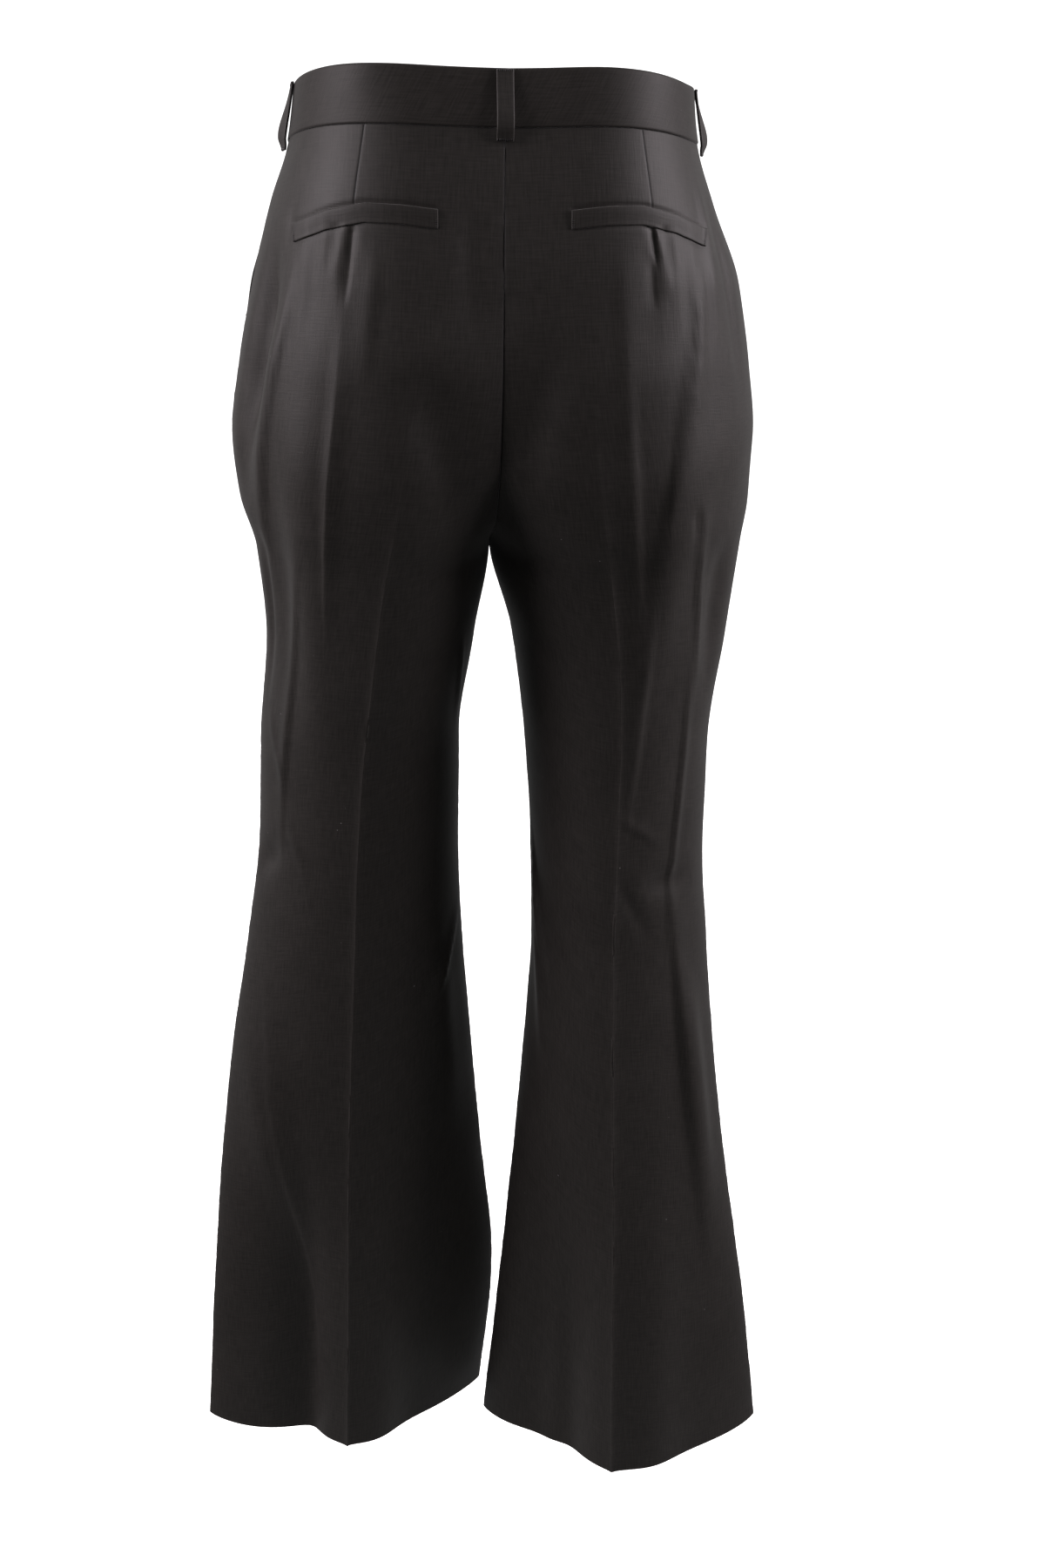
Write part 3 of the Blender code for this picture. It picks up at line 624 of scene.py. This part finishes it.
panelCloth = {
    "back": {"thick": 1.1 * mm, "flat": (0.34, 1.04), "area": 0.262, "held": "stretched"},
    "front": {"thick": 1.1 * mm, "flat": (0.28, 1.01), "area": 0.235, "held": "stretched"},
}
panel = {
    "backStretches": (9.0, 3.6, 11.0),  # about how far apart the grid's main lines are
    "frontStretches": (8.0, 11.0),
    "underBand": 0.01,
    "rowStep": 0.33,
    "firstRow": 0.25,
    "lastRow": 0.3,
    "pocketRows": (-7.0, -10.0),
    "pocketRowStep": 0.11,
    "columnStep": 0.30,
    "nearEdge": (0.0, 0.012, 0.035, 0.07, 0.13, 0.22),
    "seamGap": 0.01 * mm,
    "gapFrom": 8 * cm,
    "seamDip": 0.14 * mm,
    "seamDipReach": 0.9 * mm,
    "seamShadeReach": 0.5 * mm,
    "pucker": 0.32 * mm,
    "puckerLength": 9 * mm,
    "puckerReach": 7 * mm,
    "puckerStretch": 0.3,
    "waver": 0.5 * mm,
    "waverLength": 7 * cm,
    "waverGrows": (4, 9),
    "dartTop": 8.3,
    "dartEnd": 9.0,
    "dartEndLevel": -7.45,
    "dartFades": (0.3, 0.1),
    "dartDip": 0.22 * mm,
    "dartDipReach": 0.5 * mm,
    "backSeed": 1.0,
    "frontSeed": 5.0,
}
welt = {
    "top": ((4.0, -7.70), (6.2, -7.50), (8.4, -7.45), (10.6, -7.85), (12.7, -8.55)),
    "height": 1.0,
    "thick": 1.3 * mm,
    "flat": (0.094, 0.010),
    "area": None,
    "held": "laid",
    "columns": 60,
    "rows": 9,
    "standsOff": 0.45 * mm,
    "sewnDown": 0.9 * mm,
    "endFade": 0.1,
    "past": 0.02,
    "mouthDip": 0.9 * mm,
    "mouthReach": 0.14,
    "seamDip": 0.5 * mm,
    "seamReach": 0.12,
}
trimEdge = (0.0, 0.02, 0.05, 0.1)


def panelLevels():
    # rows from the waist seam to the hem, closer beside both and at the back pockets
    top = -cut["bandHeight"] - panel["underBand"]
    near = np.array(panel["nearEdge"])[:-1]
    start, end = panel["pocketRows"]
    upper = np.arange(top - panel["firstRow"], start, -panel["rowStep"])
    pockets = np.arange(start, end, -panel["pocketRowStep"])
    lower = np.arange(end, cut["hem"] + panel["lastRow"], -panel["rowStep"])
    return np.concatenate([top - near, upper, pockets, lower, cut["hem"] + near[::-1]])


def mouthAngle(level):
    # the slanted pocket mouth: straight from the waist seam to its end on the outseam
    top = -cut["bandHeight"] - cut["mouthDrop"]
    t = np.clip((level - cut["mouthEnd"]) / (top - cut["mouthEnd"]), 0, 1)
    return cut["mouthAngle"] * t


def mouthGape(angle, level):
    # the pocket's mouth stands open by a bell curve beside its edge
    fromMouth = (angle - mouthAngle(level)) * cut["sideways"]
    opens = smoothStep(level, cut["mouthEnd"], cut["mouthEnd"] + cut["mouthGapeFades"][0])
    closes = smoothStep(-level, cut["bandHeight"], cut["bandHeight"] + cut["mouthGapeFades"][1])
    return cut["mouthGape"] * opens * closes * bell(fromMouth, cut["mouthGapeReach"])


def dartAngle(side, level):
    # straight from the waist seam to the pocket
    top = angleAt(side, np.array([panel["dartTop"]]), np.array([-cut["bandHeight"]]), True)
    low = angleAt(side, np.array([panel["dartEnd"]]), np.array([panel["dartEndLevel"]]), True)
    t = (level + cut["bandHeight"]) / (panel["dartEndLevel"] + cut["bandHeight"])
    return top + (low - top) * np.clip(t, 0, 1)


def gapAngle():
    # half the seam gap as an angle, seen from about the section's middle
    return np.degrees(panel["seamGap"] / 2 / panel["gapFrom"])


def centreAngle(side, level, facingBack):
    # a panel's inner edge: the centre seam and, below the crotch, just short of the inseam
    short = np.where(level <= cut["crotch"], gapAngle(), 0)
    return innerEnd(side, level, facingBack) + (-short if facingBack else short)


def panelGrid(lines, stretches):
    # columns run along the given lines, and are closer beside each of them
    level = panelLevels()
    angle = []
    for i in range(len(stretches)):
        count = int(stretches[i] / panel["columnStep"]) + 2
        part = spread(lines[i](level), lines[i + 1](level),
                      bunched(count, stretches[i], panel["nearEdge"]))
        angle.append(part if i == 0 else part[:, 1:])
    angle = np.concatenate(angle, axis=1)
    return angle, np.broadcast_to(level[:, None], angle.shape)


def keepToSide(points, side, rows):
    # above the crotch no point crosses the mid-plane, and the seam's edge lies on it
    out = sign[side] * points[..., 0]
    out = np.where(rows >= cut["crotch"], np.maximum(out, panel["seamGap"] / 2), out)
    out[:, 0] = np.where(rows[:, 0] >= cut["crotch"], panel["seamGap"] / 2, out[:, 0])
    points[..., 0] = sign[side] * out
    return points


def surfaceDetail(points, rows, seed, edges):
    # dips beside the seams, small puckers along them, and a slight waver over the whole cloth
    run, back = edgeDistances(points, 1)
    down = arcLengths(points, 0)
    waver = panel["waver"] * unevenness(run, down, panel["waverLength"], seed)
    lift = waver * smoothStep(-rows, *panel["waverGrows"])
    for distance, strength, phase in ((run, edges[0], 0.0), (back, edges[1], 2.0)):
        lift = lift - strength * panel["seamDip"] * bell(distance, panel["seamDipReach"])
        ripple = unevenness(distance * panel["puckerStretch"], down, panel["puckerLength"],
                            seed + phase)
        pucker = panel["pucker"] * ripple * np.exp(-distance / panel["puckerReach"])
        lift = lift + strength * pucker
    return lift


def paintedSeamShade(points):
    # painted shade along the seams: 1 on the panel's stitched sides and top, falling off as a bell
    # curve
    nearest = np.minimum(np.minimum(*edgeDistances(points, 1)), arcLengths(points, 0))
    return bell(nearest, panel["seamShadeReach"])


def makePanel(part, side, angle, points, normal, rows, panelSeamShade):
    # the weave runs straight down the leg from the crease
    crease = np.argmin(np.abs(np.abs(angle[-1]) - 90))
    shift = cutPlace[side] - arcLengths(points, 1)[:, crease, None]
    makeCloth(part + "_" + side, "suiting", panelCloth[part], points, gridNormals(points, normal),
              uv=laidOut(points, shift), seamShadeAndDip=panelSeamShade, sewn=rows[:, 0] >= cut["crotch"])


def makeBack(side, seed):
    lines = (
        lambda level: centreAngle(side, level, True),
        lambda level: np.full_like(level, 90.0),
        lambda level: dartAngle(side, level),
        lambda level: np.full_like(level, gapAngle()),
    )
    angle, rows = panelGrid(lines, panel["backStretches"])
    points = keepToSide(form(side, angle, rows), side, rows)
    normal = gridNormals(points, outward(side, angle, rows))
    lift = surfaceDetail(points, rows, seed, (1.0, 1.0))
    # the dart: a stitched line from the waist seam to the pocket
    fromDart = (angle - dartAngle(side, rows)) * cut["sideways"] * cm
    below, above = panel["dartFades"]
    onDart = smoothStep(rows, panel["dartEndLevel"] - below, panel["dartEndLevel"] + above)
    lift = lift - panel["dartDip"] * onDart * bell(fromDart, panel["dartDipReach"])
    # the cloth dips at the pocket's mouth, over the welt's top edge, and at its lower seam
    out = sign[side] * points[..., 0] / cm
    aboveTop = rows - np.interp(out, *np.array(welt["top"]).T)
    ends = [smoothStep(out, end - welt["endFade"], end + welt["endFade"])
            for end in (welt["top"][0][0], welt["top"][-1][0])]
    onWelt = ends[0] * (1 - ends[1])
    mouth = bell(aboveTop - welt["past"], welt["mouthReach"])
    seamShadeAndDip = bell(aboveTop + welt["height"] + welt["past"], welt["seamReach"])
    lift = lift - onWelt * (welt["mouthDip"] * mouth + welt["seamDip"] * seamShadeAndDip)
    points = keepToSide(points + lift[..., None] * normal, side, rows)
    # painted shade along the seams and the dart, for the material to darken
    panelSeamShade = np.maximum(paintedSeamShade(points), onDart * bell(fromDart, panel["seamShadeReach"]))
    makePanel("back", side, angle, points, normal, rows, panelSeamShade)


def makeFront(side, seed):
    lines = (
        lambda level: centreAngle(side, level, False),
        lambda level: np.full_like(level, -90.0),
        lambda level: mouthAngle(level) - gapAngle(),
    )
    angle, rows = panelGrid(lines, panel["frontStretches"])
    points = keepToSide(form(side, angle, rows, mouthGape(angle, rows)), side, rows)
    normal = gridNormals(points, outward(side, angle, rows))
    # the side edge is free along the pocket's mouth and sewn below it
    sewn = np.where(rows > cut["mouthEnd"], 0.0, 1.0)
    lift = surfaceDetail(points, rows, seed, (1.0, sewn))
    points = keepToSide(points + lift[..., None] * normal, side, rows)
    # painted shade along the sewn edges only
    makePanel("front", side, angle, points, normal, rows, paintedSeamShade(points) * sewn)


def makeWelt(side):
    # a strip whose lower edge is sewn into the panel and whose folded top edge stands free
    out, top = np.array(welt["top"]).T
    at = out[0] + (out[-1] - out[0]) * bunched(welt["columns"], out[-1] - out[0], trimEdge)
    edge = np.interp(at, out, top)
    down = bunched(welt["rows"], welt["height"], trimEdge)
    rows = (edge[:, None] - welt["height"] * down[None, :]).T
    angle = angleAt(side, np.broadcast_to(at[None, :], rows.shape), rows, True)
    sewnDown = welt["sewnDown"] * smoothStep(down, welt["endFade"], 1.0)[:, None, None]
    layOn("back_welt_" + side, "folded_trim", welt, side, angle, rows,
          welt["standsOff"] + welt["thick"] - sewnDown)


facing = {
    "thick": 1.1 * mm,
    "flat": (0.042, 0.103),
    "area": 0.0021,
    "held": "stretched",
    "end": -13.7,
    "lastRow": 0.2,
    "rows": 30,
    "columns": 10,
    "width": 3.0,
    "nearEdge": (0.0, 0.02, 0.05, 0.12),
    "inside": 0.3,
    "sunk": 1.0 * mm,
    "sunkReach": 4 * mm,
    "seamReach": 3 * mm,
}


def makeFacing(side):
    # the side piece that shows in the slanted pocket's mouth, a little lower than the front
    near = np.array(panel["nearEdge"])[:-1]
    top = -cut["bandHeight"] - panel["underBand"]
    first, last = top - panel["firstRow"], facing["end"] + facing["lastRow"]
    middle = np.linspace(first, last, facing["rows"])
    level = np.concatenate([top - near, middle, facing["end"] + near[::-1]])
    start = mouthAngle(level) + gapAngle() + facing["inside"]
    end = np.full_like(level, -gapAngle())
    angle = spread(start, end, bunched(facing["columns"], facing["width"], facing["nearEdge"]))
    rows = np.broadcast_to(level[:, None], angle.shape)
    edge = edgeDistances(form(side, angle, rows), 1)[1]
    sunk = facing["sunk"] * smoothStep(edge, 0, facing["sunkReach"])
    sunk = sunk + panel["seamDip"] * bell(edge, facing["seamReach"])
    layOn("pocket_facing_" + side, "suiting", facing, side, angle, rows, -sunk[..., None])


fly = {
    "flat": (0.036, 0.156),
    "area": 0.0051,
    "held": "laid",
    "width": 3.6,
    "length": 15.5,
    "rows": 50,
    "columns": 14,
    "inset": 0.05,
    "top": -3.46,
    "bottom": -19.0,
    "curve": 5.0,
    "tip": 0.97,
    "thick": 1.1 * mm,
    "standsOff": 0.45 * mm,
}


def flyWidth(level):
    # full width down to the curve, then a quarter of an ellipse to the tip
    t = np.clip((fly["bottom"] + fly["curve"] - level) / fly["curve"], 0, 1)
    return fly["width"] * np.sqrt(1 - (fly["tip"] * t) ** 2)


def makeFly():
    # a J-shaped facing laid on the wearer's right front
    down = bunched(fly["rows"], fly["length"], trimEdge)
    level = fly["top"] + (fly["bottom"] - fly["top"]) * down
    across = bunched(fly["columns"], fly["width"], trimEdge)
    out = fly["inset"] + (flyWidth(level) - fly["inset"])[:, None] * across[None, :]
    rows = np.broadcast_to(level[:, None], out.shape)
    angle = angleAt("right", out, rows, False)
    layOn("fly_facing", "suiting", fly, "right", angle, rows, fly["standsOff"] + fly["thick"])


band = {
    "flat": (0.71, 0.034),
    "area": None,
    "held": "stretched",
    "thick": 2.4 * mm,
    "proud": 0.8 * mm,
    "rows": 12,
    "nearEdge": (0.0, 0.015, 0.04, 0.08, 0.14),
    "columns": 190,
    "overlap": 3.6,
    "overlapColumns": 26,
    "nearOverlapEnd": (0.1, 0.06, 0.03, 0.01, 0.0),
    "overlapRise": (0.2, 2.2),
    "fillReach": 0.15,
    "seamGap": 0.3 * mm,
    "waver": 0.35 * mm,
    "waverLength": 5 * cm,
    "seed": 3,
}


def makeBand():
    # one strip round the waist, from the left front over the back to the right front, and on
    # over the left end
    level = -cut["bandHeight"] * bunched(band["rows"], cut["bandHeight"], band["nearEdge"])
    halves = {"left": np.linspace(0, 1, band["columns"]),
              "right": np.linspace(1, 0, band["columns"])[1:]}
    stretches = []
    for side, fractions in halves.items():
        ends = innerEnd(side, level, False), innerEnd(side, level, True)
        stretches.append((side, side, spread(*ends, fractions)))
    near = band["overlap"] - np.array(band["nearOverlapEnd"])
    over = np.concatenate([np.linspace(0, near[0], band["overlapColumns"])[1:], near[1:]])
    tongue = angleAt("left", over[None, :], level[:, None], False)
    stretches.append(("lap", "left", np.broadcast_to(tongue, (len(level), len(over)))))
    height = band["thick"] + band["seamGap"]
    grid, normals, fillings = [], [], []
    for stretch, side, angle in stretches:
        rows = np.broadcast_to(level[:, None], angle.shape)
        flat = flatForm(side, angle, rows, 0.0)
        normal = outward(side, angle, rows)
        out = np.abs(flat[..., 0]) / cm
        rise = np.full(angle.shape, 1.0 if stretch == "lap" else 0.0)
        filling = rise * 0
        if stretch == "right":
            # the right end rises to the lap and is filled out below, so no hole shows there
            rise = np.where(angle < 0, 1 - smoothStep(out, *band["overlapRise"]), 0)
            filling = rise * smoothStep(out, 0.0, band["fillReach"]) * height
        grid.append(flat + (band["proud"] + rise * height)[..., None] * normal)
        normals.append(normal)
        fillings.append(filling)
    points = np.concatenate(grid, axis=1)
    normal = np.concatenate(normals, axis=1)
    # the left end stops at the mid-plane
    points[:, 0, 0] = np.maximum(points[:, 0, 0], band["seamGap"])
    uv = laidOut(points)
    waver = unevenness(uv[..., 0], -uv[..., 1], band["waverLength"], band["seed"])
    points = points + (band["waver"] * waver)[..., None] * normal
    makeCloth("waistband", "fused_band", band, points, normal, uv=uv,
              deeper=np.concatenate(fillings, axis=1))


loopColumns = ("name", "side", "angle", "slack", "turn")
loops = (
    ("belt_loop_back", "left", None, 3.2, 0.0),
    ("belt_loop_side_left", "left", 13.0, 2.7, 0.75),
    ("belt_loop_side_right", "right", 13.0, 3.0, 0.75),
    ("belt_loop_front_left", "left", -74.0, 3.2, 0.0),
    ("belt_loop_front_right", "right", -74.0, 3.2, 0.0),
)
loopCut = {
    "flat": (0.0105, 0.046),
    "area": None,
    "held": "stretched",
    "width": 10.5 * mm,
    "thick": 1.8 * mm,
    "rows": 34,
    "columns": 7,
    "top": -0.05,
    "end": -4.2,
    "offBand": (0.55, 0.05),  # below the band, where the strip steps down to the panels
    "sag": 2.0,
    "fullness": 0.8,
    "curl": 0.4,
    "radius": 8.6,
    "tacks": 9,
    "tackRows": (3, -4),
}


def makeLoop(name, side, angle, slack, turn):
    # a folded strip over the band: it bows out by a sine whose peak lies below its middle
    length = loopCut["top"] - loopCut["end"]
    level = loopCut["top"] - length * bunched(loopCut["rows"], length, trimEdge)
    across = 2 * bunched(loopCut["columns"], 1.0, trimEdge) - 1
    rows = np.broadcast_to(level[:, None], (len(level), len(across)))
    if angle is None:
        # the strip at the centre back lies half on each side
        out = across * loopCut["width"] / 2 / cm
        halves = ["left" if o > 0 else "right" for o in out]
        base = np.stack([
            flatForm(half, angleAt(half, abs(o), level, True), level, 0.0)
            for half, o in zip(halves, out)
        ], axis=1)
        normal = outward("left", angleAt("left", 0.0, level, True), level)
    else:
        half = np.degrees(loopCut["width"] / 2 / cm / loopCut["radius"])
        base = flatForm(side, angle + half * across[None, :], rows, 0.0)
        normal = outward(side, np.full_like(level, angle), level)
    t = (level - level[0]) / (level[-1] - level[0])
    bow = np.maximum(np.sin(math.pi * t ** loopCut["sag"]), 0) ** loopCut["fullness"]
    onBand = smoothStep(level, *[-cut["bandHeight"] - below for below in loopCut["offBand"]])
    lift = (band["seamGap"] + onBand * band["proud"] + loopCut["thick"])[:, None]
    lift = lift + slack * mm * bow[:, None] * (1 - turn * across)
    middle = base[:, len(across) // 2][:, None, :]
    drop = np.sum((middle - base) * normal[:, None, :], axis=-1)
    points = base + (lift + (1 - loopCut["curl"]) * drop)[..., None] * normal[:, None, :]
    normals = gridNormals(points, np.broadcast_to(normal[:, None, :], points.shape))
    makeCloth(name, "folded_trim", loopCut, points, normals)
    for row in loopCut["tackRows"]:
        tackRow(points[row], normals[row], loopCut["tacks"])


stitch = {
    "length": 2.2 * mm,
    "apart": 2.9 * mm,
    "radius": 0.22 * mm,
    "raised": 0.06 * mm,
    "rings": (-0.96, -0.6, 0.0, 0.6, 0.96),  # shares of half a stitch's length
    "corners": 6,
    "tackLength": 1.6 * mm,
    "tackPoints": 12,
    "mouthTop": -3.8,
    "mouthInside": 0.55,
    "mouthTurn": 1.2,
    "mouthPoints": 60,
    "mouthTacks": 9,
    "mouthTackReach": (0.2, 4.2),  # degrees in from the mouth's edge
    "mouthTackEnds": (0.15, -4.3),
    "weltTacks": 10,
    "weltTackInside": (0.1, 0.05),  # in from the welt's end, and from its top and bottom
    "weltTackSunk": 0.5 * mm,
    "flyInside": 0.5,
    "flyTop": 0.2,
    "flyEnd": 0.6,
    "flyLeast": 0.12,
    "flyPoints": 90,
    "flyTacks": 8,
    "flyTackLevel": 1.0,
    "flyTackReach": (0.15, 1.1),
}
seams = {"fly_stitching": [], "pocket_stitching": [], "bar_tacks": []}


def evenly(points, normals, apart):
    # places along a line of points, a fixed distance apart
    run = arcLengths(points[None], 1)[0]
    at = np.arange(apart / 2, run[-1], apart)
    pick = lambda values: np.stack([np.interp(at, run, values[:, k]) for k in range(3)], axis=1)
    along = np.gradient(pick(points), axis=0)
    return pick(points), along, pick(normals)


def tackRow(points, normals, count):
    # close stitches across a line, each at a right angle to it
    span = np.linalg.norm(points[-1] - points[0])
    places, along, outwards = evenly(points, normals, span / count)
    seams["bar_tacks"].append((places, np.cross(along, outwards), outwards))


def unit(vectors):
    return vectors / np.linalg.norm(vectors, axis=1, keepdims=True)


def makeStitches(name, length):
    # each stitch is a spindle: its radius is the root of 1 minus its half length squared
    places, along, outwards = [np.concatenate(part) for part in zip(*seams[name])]
    along = unit(along)
    outwards = unit(outwards - np.sum(outwards * along, axis=1, keepdims=True) * along)
    across = np.cross(along, outwards)
    step = np.array(stitch["rings"])
    turn = np.linspace(0, 2 * math.pi, stitch["corners"] + 1)[:-1]
    wide = stitch["radius"] * np.sqrt(1 - step**2)
    sideways = np.cos(turn)[None, :] * wide[:, None]
    upward = np.sin(turn)[None, :] * wide[:, None] + stitch["raised"]
    points = (
        places[:, None, None] + along[:, None, None] * (step * length / 2)[None, :, None, None]
        + across[:, None, None] * sideways[None, ..., None]
        + outwards[:, None, None] * upward[None, ..., None]
    )
    ring = np.arange(upward.size).reshape(upward.shape)
    after = np.roll(ring, -1, axis=1)
    sides = np.stack([ring[:-1], after[:-1], after[1:], ring[1:]], axis=-1).reshape(-1, 4)
    # each six-cornered end is closed by two faces
    ends = [ring[0, [3, 2, 1, 0]], ring[0, [5, 4, 3, 0]], ring[-1, [0, 1, 2, 3]],
            ring[-1, [0, 3, 4, 5]]]
    one = np.concatenate([sides, ends])
    if np.dot(np.cross(across[0], outwards[0]), along[0]) < 0:
        one = one[:, ::-1]
    faces = (one[None] + ring.size * np.arange(len(places))[:, None, None]).reshape(-1, 4)
    piece = makeMesh(name, points.reshape(-1, 3), faces, np.zeros((points.size // 3, 2)), thread)
    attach(piece, "root")


def sewPockets(side):
    # the mouth's edge is stitched a little way in, and every pocket end has a bar tack
    level = np.linspace(stitch["mouthTop"], cut["mouthEnd"], stitch["mouthPoints"])
    angle = mouthAngle(level) - stitch["mouthInside"] / cut["sideways"] / stitch["mouthTurn"]
    points = form(side, angle, level, mouthGape(angle, level))
    normals = outward(side, angle, level)
    seams["pocket_stitching"].append(evenly(points, normals, stitch["apart"]))
    above, top = stitch["mouthTackEnds"]
    for end in (cut["mouthEnd"] + above, top):
        reach = np.linspace(*stitch["mouthTackReach"], stitch["tackPoints"])
        turns = mouthAngle(np.array([end])) - reach
        rows = np.full_like(turns, end)
        points = form(side, turns, rows, mouthGape(turns, rows))
        tackRow(points, outward(side, turns, rows), stitch["mouthTacks"])
    inside, short = stitch["weltTackInside"]
    lift = (welt["standsOff"] + welt["thick"] - stitch["weltTackSunk"]) / cm
    for (out, top), inward in zip((welt["top"][0], welt["top"][-1]), (inside, -inside)):
        rows = np.linspace(top - short, top - welt["height"] + short, stitch["tackPoints"])
        angle = angleAt(side, out + inward, rows, True)
        tackRow(form(side, angle, rows, lift), outward(side, angle, rows), stitch["weltTacks"])


def sewFly():
    # a J through the front and its facing: down beside the facing's edge, then round to the tip
    level = np.linspace(fly["top"] - stitch["flyTop"], fly["bottom"] + stitch["flyEnd"],
                        stitch["flyPoints"])
    out = np.maximum(flyWidth(level) - stitch["flyInside"], stitch["flyLeast"])
    angle = angleAt("right", out, level, False)
    lift = (fly["standsOff"] + fly["thick"]) / cm
    points = form("right", angle, level, lift)
    seams["fly_stitching"].append(evenly(points, outward("right", angle, level), stitch["apart"]))
    out = np.linspace(*stitch["flyTackReach"], stitch["flyTacks"])
    tip = np.full_like(out, fly["bottom"] + stitch["flyTackLevel"])
    angle = angleAt("right", out, tip, False)
    tackRow(form("right", angle, tip, lift), outward("right", angle, tip), stitch["flyTacks"])


for index, side in enumerate(("left", "right")):
    makeBack(side, panel["backSeed"] + index)
    makeFront(side, panel["frontSeed"] + index)
    makeWelt(side)
    makeFacing(side)
print("panels, welts and facings made")
makeFly()
makeBand()
for row in loops:
    makeLoop(**dict(zip(loopColumns, row)))
print("fly, waistband and belt loops made")
sewPockets("left")
sewPockets("right")
sewFly()
for name in seams:
    makeStitches(name, stitch["tackLength" if name == "bar_tacks" else "length"])
print("stitching made")

studio = {
    "floorLevel": -1.162,
    "floorHalf": 40.0,
    "floorColour": "#f4f2f0",
    "floorRoughness": 0.8,
    "floorGlow": 0.95,  # the sweep has its own light, so it reads as white paper
    "lens": 48.0,
    "sensor": 36.0,
    "camera": (0.0934, 1.3831, 0.156),
    "pitch": 24.8,
    "yaw": 5.0,
    "roll": -1.25,
    "backdrop": "#ffffff",
    "room": (0.75, 0.31),  # the unlit studio's light in front and behind, as shares of white
    "below": 0.34,  # the share of it that the room gives back from below
}
lightColumns = ("name", "place", "target", "size", "power", "colour")
lights = (
    ("softbox_left", (1.65, 0.30, 0.42), (0, 0, 0.25), (1.0, 0.9), 48.0, "#fff6fb"),
    ("softbox_right", (-1.65, 0.30, 0.42), (0, 0, 0.25), (1.0, 0.9), 48.0, "#fff6fb"),
    ("softbox_top", (0, -0.9, 2.4), (0, -0.2, -1.2), (2.4, 2.4), 4.0, "#ffffff"),
    # what the white floor throws up between the legs
    ("floor_bounce", (0, 0.1, studio["floorLevel"] + 0.01), (0, 0.1, 0), (0.7, 0.9), 0.5, "#ffffff"),
)


def makeFloor():
    half, z = studio["floorHalf"], studio["floorLevel"]
    mesh = bpy.data.meshes.new("studio_floor")
    corners = [(-half, -half, z), (half, -half, z), (half, half, z), (-half, half, z)]
    mesh.from_pydata(corners, [], [(0, 1, 2, 3)])
    floor = bpy.data.objects.new("studio_floor", mesh)
    material, tree, shader = newMaterial("floor_matt_paint")
    setInputs(tree, shader, {
        "Base Color": hexLinear(studio["floorColour"]),
        "Roughness": studio["floorRoughness"],
        "Emission Color": (1, 1, 1, 1),
        "Emission Strength": studio["floorGlow"],
    })
    mesh.materials.append(material)
    bpy.context.scene.collection.objects.link(floor)
    # the cloth gets the floor's light from floor_bounce alone, so its lower legs stay dark
    floor.visible_diffuse = False
    floor.visible_glossy = False


def makeLight(name, place, target, size, power, colour):
    light = bpy.data.lights.new(name, "AREA")
    light.color = hexLinear(colour)[:3]
    light.shape = "RECTANGLE"
    light.size, light.size_y = size
    light.energy = power
    holder = bpy.data.objects.new(name, light)
    holder.location = place
    holder.rotation_euler = (Vector(target) - Vector(place)).to_track_quat("-Z", "Y").to_euler()
    holder.visible_camera = False
    bpy.context.scene.collection.objects.link(holder)


def makeCamera():
    # the view direction from pitch and yaw, then the picture turned by its roll
    pitch, yaw, roll = [math.radians(studio[key]) for key in ("pitch", "yaw", "roll")]
    level = Vector((-math.cos(yaw), math.sin(yaw), 0))
    forward = Vector((-math.sin(yaw) * math.cos(pitch), -math.cos(yaw) * math.cos(pitch),
                      -math.sin(pitch)))
    upright = level.cross(forward)
    right = level * math.cos(roll) - upright * math.sin(roll)
    up = level * math.sin(roll) + upright * math.cos(roll)
    data = bpy.data.cameras.new("camera")
    data.lens, data.sensor_width = studio["lens"], studio["sensor"]
    camera = bpy.data.objects.new("camera", data)
    turn = Matrix((right, up, -forward)).transposed()
    camera.matrix_world = Matrix.Translation(studio["camera"]) @ turn.to_4x4()
    bpy.context.scene.collection.objects.link(camera)
    bpy.context.scene.camera = camera


def makeWorld():
    # the backdrop looks white, and gives less light from the side where the viewer stands
    world = bpy.data.worlds.new("studio_white")
    world.use_nodes = True
    tree = world.node_tree
    direction = addNode(tree, "TexCoord").outputs["Generated"]
    split = addNode(tree, "SeparateXYZ", {"Vector": direction})
    behind = remap(tree, split.outputs["Y"], (-0.6, 0.5), studio["room"])
    below = remap(tree, split.outputs["Z"], (-0.4, 0.5), (studio["below"], 1.0))
    share = addNode(tree, "Math", {0: behind, 1: below}, operation="MULTIPLY").outputs[0]
    seen = addNode(tree, "LightPath").outputs["Is Camera Ray"]
    background = tree.nodes["Background"]
    setInputs(tree, background, {
        "Color": hexLinear(studio["backdrop"]),
        "Strength": blend(tree, seen, share, 1.0),
    })
    bpy.context.scene.world = world
    bpy.context.scene.view_settings.view_transform = "Standard"


makeFloor()
makeWorld()
for row in lights:
    makeLight(**dict(zip(lightColumns, row)))
makeCamera()
print("studio set")
